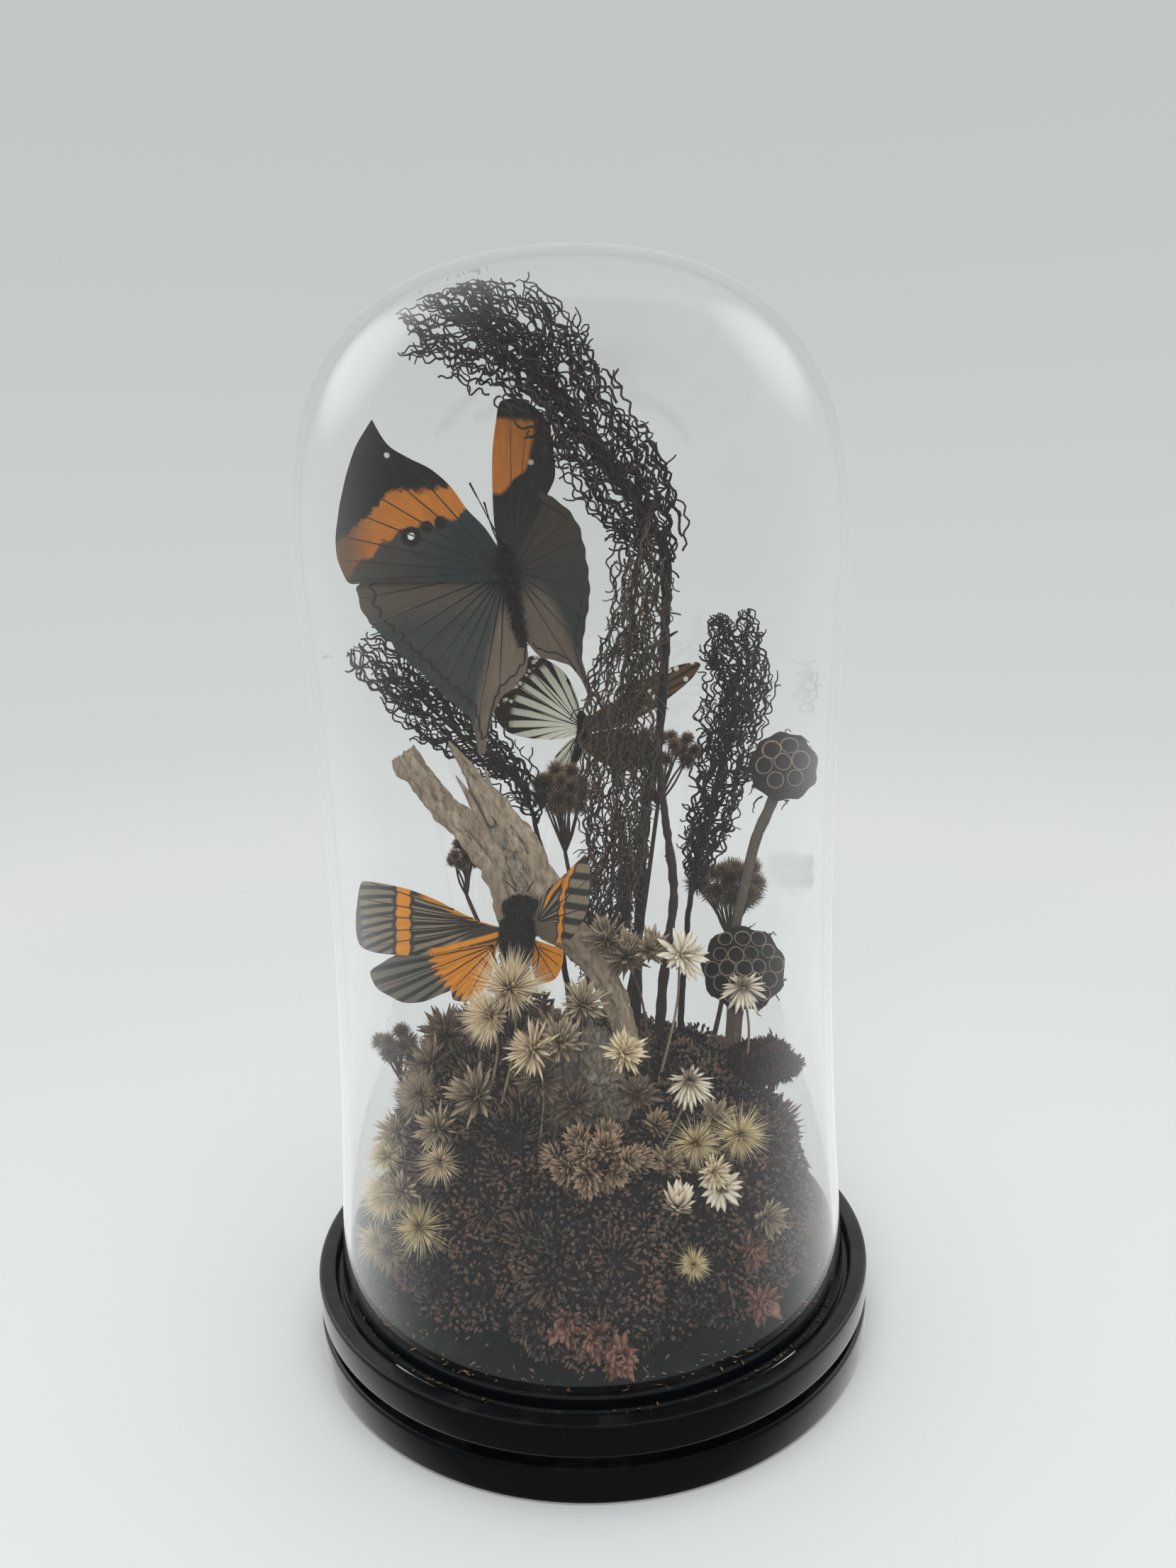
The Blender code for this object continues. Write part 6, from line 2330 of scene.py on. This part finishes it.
LEAF = (-17.2, -14.0, 222.8)
WINGS = (
    Wing("leaf_butterfly_forewing_left", WingKind.LEAF_FORE, "leaf_wing", LEAF,
         (119, 98, 62, 50, 41, 32, 23, 14, 6, -1), 1.2, 0.25, 0.24),
    Wing("leaf_butterfly_hindwing_left", WingKind.LEAF_HIND, "leaf_wing", (-17.3, -12.4, 222.8),
         (-8, -19, -30, -40, -50, -59, -68, -77, -85), 1.0, 0.3, 0.22, 0.5, 0.90, (4.2, 11.0), 1.3),
    Wing("leaf_butterfly_forewing_right", WingKind.LEAF_FORE_FAR, "leaf_wing", (-15.6, -10.0, 223.7),
         (90, 84, 77, 70, 62), 0.6, 0.25, 0.24, 0.0, 0.0, (1.6, 12.0)),
    Wing("leaf_butterfly_hindwing_right", WingKind.LEAF_HIND_FAR, "leaf_wing", (-15.4, -7.6, 222.5),
         (60, 44, 26, 5, -18, -38, -52, -62), 0.6, 0.3, 0.22, 0.4, 0.90, (7.0, 17.0)),
    Wing("cicada_forewing_left", WingKind.CICADA_FORE, "cicada_wing", (-21.4, -31.0, 132.8),
         (20, 12, 5, -3, -10), 0.6, 0.15, 0.22),
    Wing("cicada_forewing_right", WingKind.CICADA_FORE_NEAR, "cicada_wing", (-10.8, -33.0, 133.3),
         (70, 62, 50, 34), 0.5, 0.15, 0.22),
    Wing("cicada_hindwing_left", WingKind.CICADA_HIND, "cicada_wing", (-21.8, -29.4, 126.3),
         (-9, -20, -31, -45, -60), 0.6, 0.2, 0.16, lap=3.4, lap_end=31.0),
    Wing("cicada_hindwing_right", WingKind.CICADA_HIND, "cicada_wing", (-11.6, -31.5, 126.5),
         (-5, -30, -55), 0.4, 0.2, 0.16),
    Wing("tiger_butterfly_forewing_left", WingKind.TIGER_FORE, "tiger_wing", (0.3, 28.0, 174.4),
         (100, 128, 20, 35, 50, 66), 0.6, 0.15, 0.18),
    Wing("tiger_butterfly_forewing_right", WingKind.TIGER_TIP, "tiger_wing", (2.5, 28.0, 174.3),
         (38, 32, 26, 18), 0.6, 0.15, 0.18),
    Wing("tiger_butterfly_hindwing_left", WingKind.TIGER_FORE, "tiger_wing", (-0.2, 29.6, 172.4),
         (-45, -58), 0.3, 0.1, 0.15),
    Wing("tiger_butterfly_hindwing_right", WingKind.TIGER_TIP, "tiger_wing", (2.4, 29.6, 171.9),
         (-5, -25, -45), 0.3, 0.1, 0.15),
)


@dataclass(frozen=True)
class Body:
    """One insect's body with its fur, eyes, feelers and legs.

    Attributes:
        node: the CAD node.
        name: the piece's name.
        hairs: how many hairs cover it.
        hair: length of a hair.
        eyes: middle of each eye.
        eye: radius of an eye.
        lines: feelers and legs, each a root, a bend and a tip.
        taper: how much it narrows towards its ends.
    """
    node: str
    name: str
    hairs: int
    hair: float
    eyes: Tuple[Vec, ...]
    eye: float
    lines: Tuple[Tuple[Vec, ...], ...]
    taper: float = 0.5

    def shaped(self, points: Array, normals: Array) -> Array:
        """Round the ends, nip the waist behind the head, and crease the rings."""
        low, high = points[:, 2].min(), points[:, 2].max()
        along = (points[:, 2] - low) / (high - low)
        ends = self.taper * np.abs(along * 2.0 - 1.0) ** 3.5
        waist = self.taper * 0.5 * np.exp(-((along - 0.74) / 0.045) ** 2)
        return 0.12 * np.sin(points[:, 2] * 2.6) + ripple(points, (0.6,) * 3, 0.25) - ends - waist + 0.3

    def build(self, shop: Workshop) -> None:
        """Make the body and all that is on it."""
        rng = shop.rng
        thing = shop.refined(self.node, self.name, 3, self.shaped)
        shop.hand_over(thing, shop.finish(FUR), FUR.slot, self.node)
        places = points_of(thing.data) / METRES
        normals = points_of(thing.data, "normal")
        picked = rng.choice(len(places), self.hairs)
        way = unit(normals[picked] + rng.normal(0.0, 0.3, (self.hairs, 3)) - np.array([0.0, 0.0, 0.5]))
        heap = Heap()
        wide = rng.uniform(0.07, 0.12, self.hairs)
        across, tall = rng.normal(0, 1, way.shape), self.hair * rng.uniform(0.5, 1.1, self.hairs)
        heap.add(shop.bristle, places[picked] - way * 0.1, frames_for(way, across, wide, wide, tall),
                 rng.random(self.hairs), (0.1, 1.0))
        ball = spun("ball", [(math.sin(turn), -math.cos(turn)) for turn in np.linspace(0, math.pi, 9)], 14)
        ball.data.transform(Matrix.Scale(1.0 / METRES, 4))
        eye = Shape.taken(ball)
        for spot in self.eyes:
            heap.add(eye, np.array([spot]), np.eye(3)[None] * self.eye, np.array([0.2]), (0.0, 0.1))
        for line in self.lines:
            way = bent(line, 8)
            heap.tube(way, np.linspace(0.24, 0.13, len(way)), 5, 0.3, (0.1, 0.3), (0.3, 1.0, 0.2))
            if line[-1][2] > line[0][2] + 8.0:
                heap.tube(way[-4:], np.linspace(0.2, 0.32, 4), 5, 0.3, (0.2, 0.4))
        shop.heaped(self.name + "_fur", heap, FUR)


BODIES = (
    Body("leaf_butterfly_body", "leaf_body", 3600, 2.0,
         ((-18.5, -14.8, 228.2), (-16.0, -14.8, 228.2)), 0.75,
         (((-18.0, -14.4, 229.2), (-19.8, -15.6, 234.0), (-21.4, -16.6, 240.5)),
          ((-17.2, -14.4, 229.4), (-20.4, -15.8, 236.0), (-24.7, -18.0, 245.3)),
          ((-18.4, -15.6, 224.6), (-20.6, -18.0, 222.0), (-19.4, -17.6, 218.4)),
          ((-15.2, -15.4, 223.6), (-13.4, -17.6, 221.0), (-14.2, -17.2, 217.0)))),
    Body("cicada_body", "lower_body", 4200, 1.3,
         ((-18.7, -33.4, 138.2), (-10.9, -33.6, 138.6)), 1.15,
         (((-19.4, -34.0, 131.0), (-22.0, -37.0, 127.0), (-21.0, -37.4, 122.0)),
          ((-12.4, -34.2, 130.0), (-10.4, -37.0, 126.0), (-11.4, -37.4, 121.0)),
          ((-16.0, -32.6, 141.6), (-16.8, -34.0, 143.4), (-18.2, -34.6, 145.0)),
          ((-13.0, -32.6, 141.6), (-12.2, -34.0, 143.4), (-11.0, -34.6, 145.0))), 3.0),
    Body("tiger_butterfly_body", "tiger_body", 1500, 0.9,
         ((-0.5, 27.4, 177.6), (1.4, 27.4, 177.6)), 0.6,
         (((0.0, 27.4, 178.6), (-1.4, 26.6, 184.0), (-3.6, 26.4, 189.0)),
          ((0.8, 27.4, 178.6), (2.6, 26.6, 184.0), (5.4, 26.4, 188.6)),
          ((-0.8, 27.0, 172.0), (-3.0, 25.6, 168.0), (-2.0, 25.6, 164.0)),
          ((1.8, 27.0, 172.0), (3.6, 25.6, 168.4), (2.8, 25.6, 164.6)))),
)


# ---------------------------------------------------------------------------------------------
# Studio
# ---------------------------------------------------------------------------------------------

@dataclass(frozen=True)
class Lamp:
    """A soft rectangular lamp, which the glass doesn't mirror: its place, size and power."""
    name: str
    place: Vec
    size: Tuple[float, float]
    power: float

    def build(self) -> None:
        """Hang the lamp."""
        light = bpy.data.lights.new(self.name, "AREA")
        light.shape = "RECTANGLE"
        light.size, light.size_y = self.size
        light.energy = self.power
        thing = bpy.data.objects.new(self.name, light)
        bpy.context.collection.objects.link(thing)
        thing.visible_camera = False
        thing.visible_transmission = False
        thing.visible_glossy = False
        place = Vector(self.place)
        thing.location = place
        thing.rotation_euler = (Vector((0.0, 0.0, 0.15)) - place).to_track_quat("-Z", "Y").to_euler()


@dataclass(frozen=True)
class Studio:
    """The pale floor, the soft light and the camera."""
    eye: Vec = (11.2857, -325.3933, 234.3448)
    pitch: float = 0.2174
    yaw: float = -0.0267
    roll: float = -0.0284
    focal: float = 1662.0
    tall: float = 2212.0
    sensor: float = 36.0
    floor_radius: float = 0.62
    fade: Tuple[float, float] = (0.30, 0.60)
    lamps: Tuple[Lamp, ...] = (
        Lamp("overhead", (0.05, 0.0, 1.0), (0.8, 0.8), 4.5),
        Lamp("front_fill", (-0.10, -0.95, 0.62), (0.70, 0.40), 4.2),
    )

    def build(self) -> None:
        """Set everything up."""
        self.camera()
        self.floor()
        self.sky()
        for lamp in self.lamps:
            lamp.build()
        bpy.context.scene.view_settings.view_transform = "Standard"

    def camera(self) -> None:
        """Put the camera at the viewing angle."""
        forward = Vector((math.sin(self.yaw) * math.cos(self.pitch),
                          math.cos(self.yaw) * math.cos(self.pitch), -math.sin(self.pitch)))
        right = Vector((math.cos(self.yaw), -math.sin(self.yaw), 0.0))
        up = right.cross(forward)
        cos, sin = math.cos(self.roll), math.sin(self.roll)
        right, up = right * cos + up * sin, up * cos - right * sin
        data = bpy.data.cameras.new("camera")
        data.sensor_width = self.sensor
        data.lens = self.focal * self.sensor / self.tall
        data.clip_start = 0.01
        thing = bpy.data.objects.new("camera", data)
        bpy.context.collection.objects.link(thing)
        turned = Matrix((right, up, -forward)).transposed()
        thing.matrix_world = Matrix.Translation(Vector(self.eye) * METRES) @ turned.to_4x4()
        bpy.context.scene.camera = thing

    def floor(self) -> None:
        """Lay a round pale floor that fades out into the backdrop."""
        deselect()
        bpy.ops.mesh.primitive_circle_add(vertices=96, radius=self.floor_radius, fill_type="NGON")
        thing = bpy.context.object
        thing.name = "floor"
        graph = Graph("pale_floor")
        spot = graph.spot()
        flat = graph.node("ShaderNodeVectorMath", {"operation": "LENGTH"},
                          {0: graph.scaled(spot, (METRES, METRES, 0.0))}, "Value")
        graph.surface((0.80, 0.81, 0.81), 0.6, graph.noise(spot, 0.4), 0.02)
        graph.cleared(graph.step(flat, *self.fade))
        thing.data.materials.append(graph.material)
        thing.visible_glossy = False

    @staticmethod
    def sky() -> None:
        """Surround everything with soft pale grey, lighter towards the floor, dimmer when mirrored."""
        graph = Graph("soft_grey", world=True)
        bpy.context.scene.world = graph.material
        way = graph.node("ShaderNodeTexCoord", {}, {}, "Generated")
        shade = graph.ramp(graph.part(way, 2) * 0.5 + 0.5, [
            (0.28, (0.86, 0.87, 0.88)), (0.42, (0.64, 0.66, 0.66)), (0.60, (0.56, 0.58, 0.58)),
            (0.95, (0.48, 0.50, 0.50))])
        mirrored = graph.seen("Is Glossy Ray") * graph.seen("Is Reflection Ray")
        level = graph.step(graph.part(way, 1), -0.45, 0.45, -0.90, 0.25)
        for glow in ((-0.72, 0.41, 0.556), (0.70, 0.42, 0.56)):
            toward = graph.node("ShaderNodeVectorMath", {"operation": "DOT_PRODUCT"},
                                {0: way, 1: glow}, "Value")
            level = level + graph.step(toward, 0.93, 0.995, 0.0, 2.6)
        graph.tree.links.new(shade.link, graph.shader.inputs["Color"])
        graph.tree.links.new((mirrored * level + 1.0).link, graph.shader.inputs["Strength"])


def main() -> None:
    """Build every piece in order."""
    logging.basicConfig(level=logging.INFO, format="%(name)s: %(message)s")
    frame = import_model()
    shop = Workshop(frame)
    Studio().build()
    TurnedBase().build(shop)
    GlassBell().build(shop)
    Wood().build(shop)
    mound = Mound(shop)
    mound.build()
    for stem in STEMS:
        stem.build(shop)
    for plume in PLUMES:
        plume.build(shop)
    for group in (PODS, TUFTS, HEADS):
        for item in group:
            item.build(shop, mound)
    Clusters().build(shop)
    Litter().build(shop)
    for wing in WINGS:
        wing.build(shop)
    for body in BODIES:
        body.build(shop)


if __name__ == "__main__":
    main()
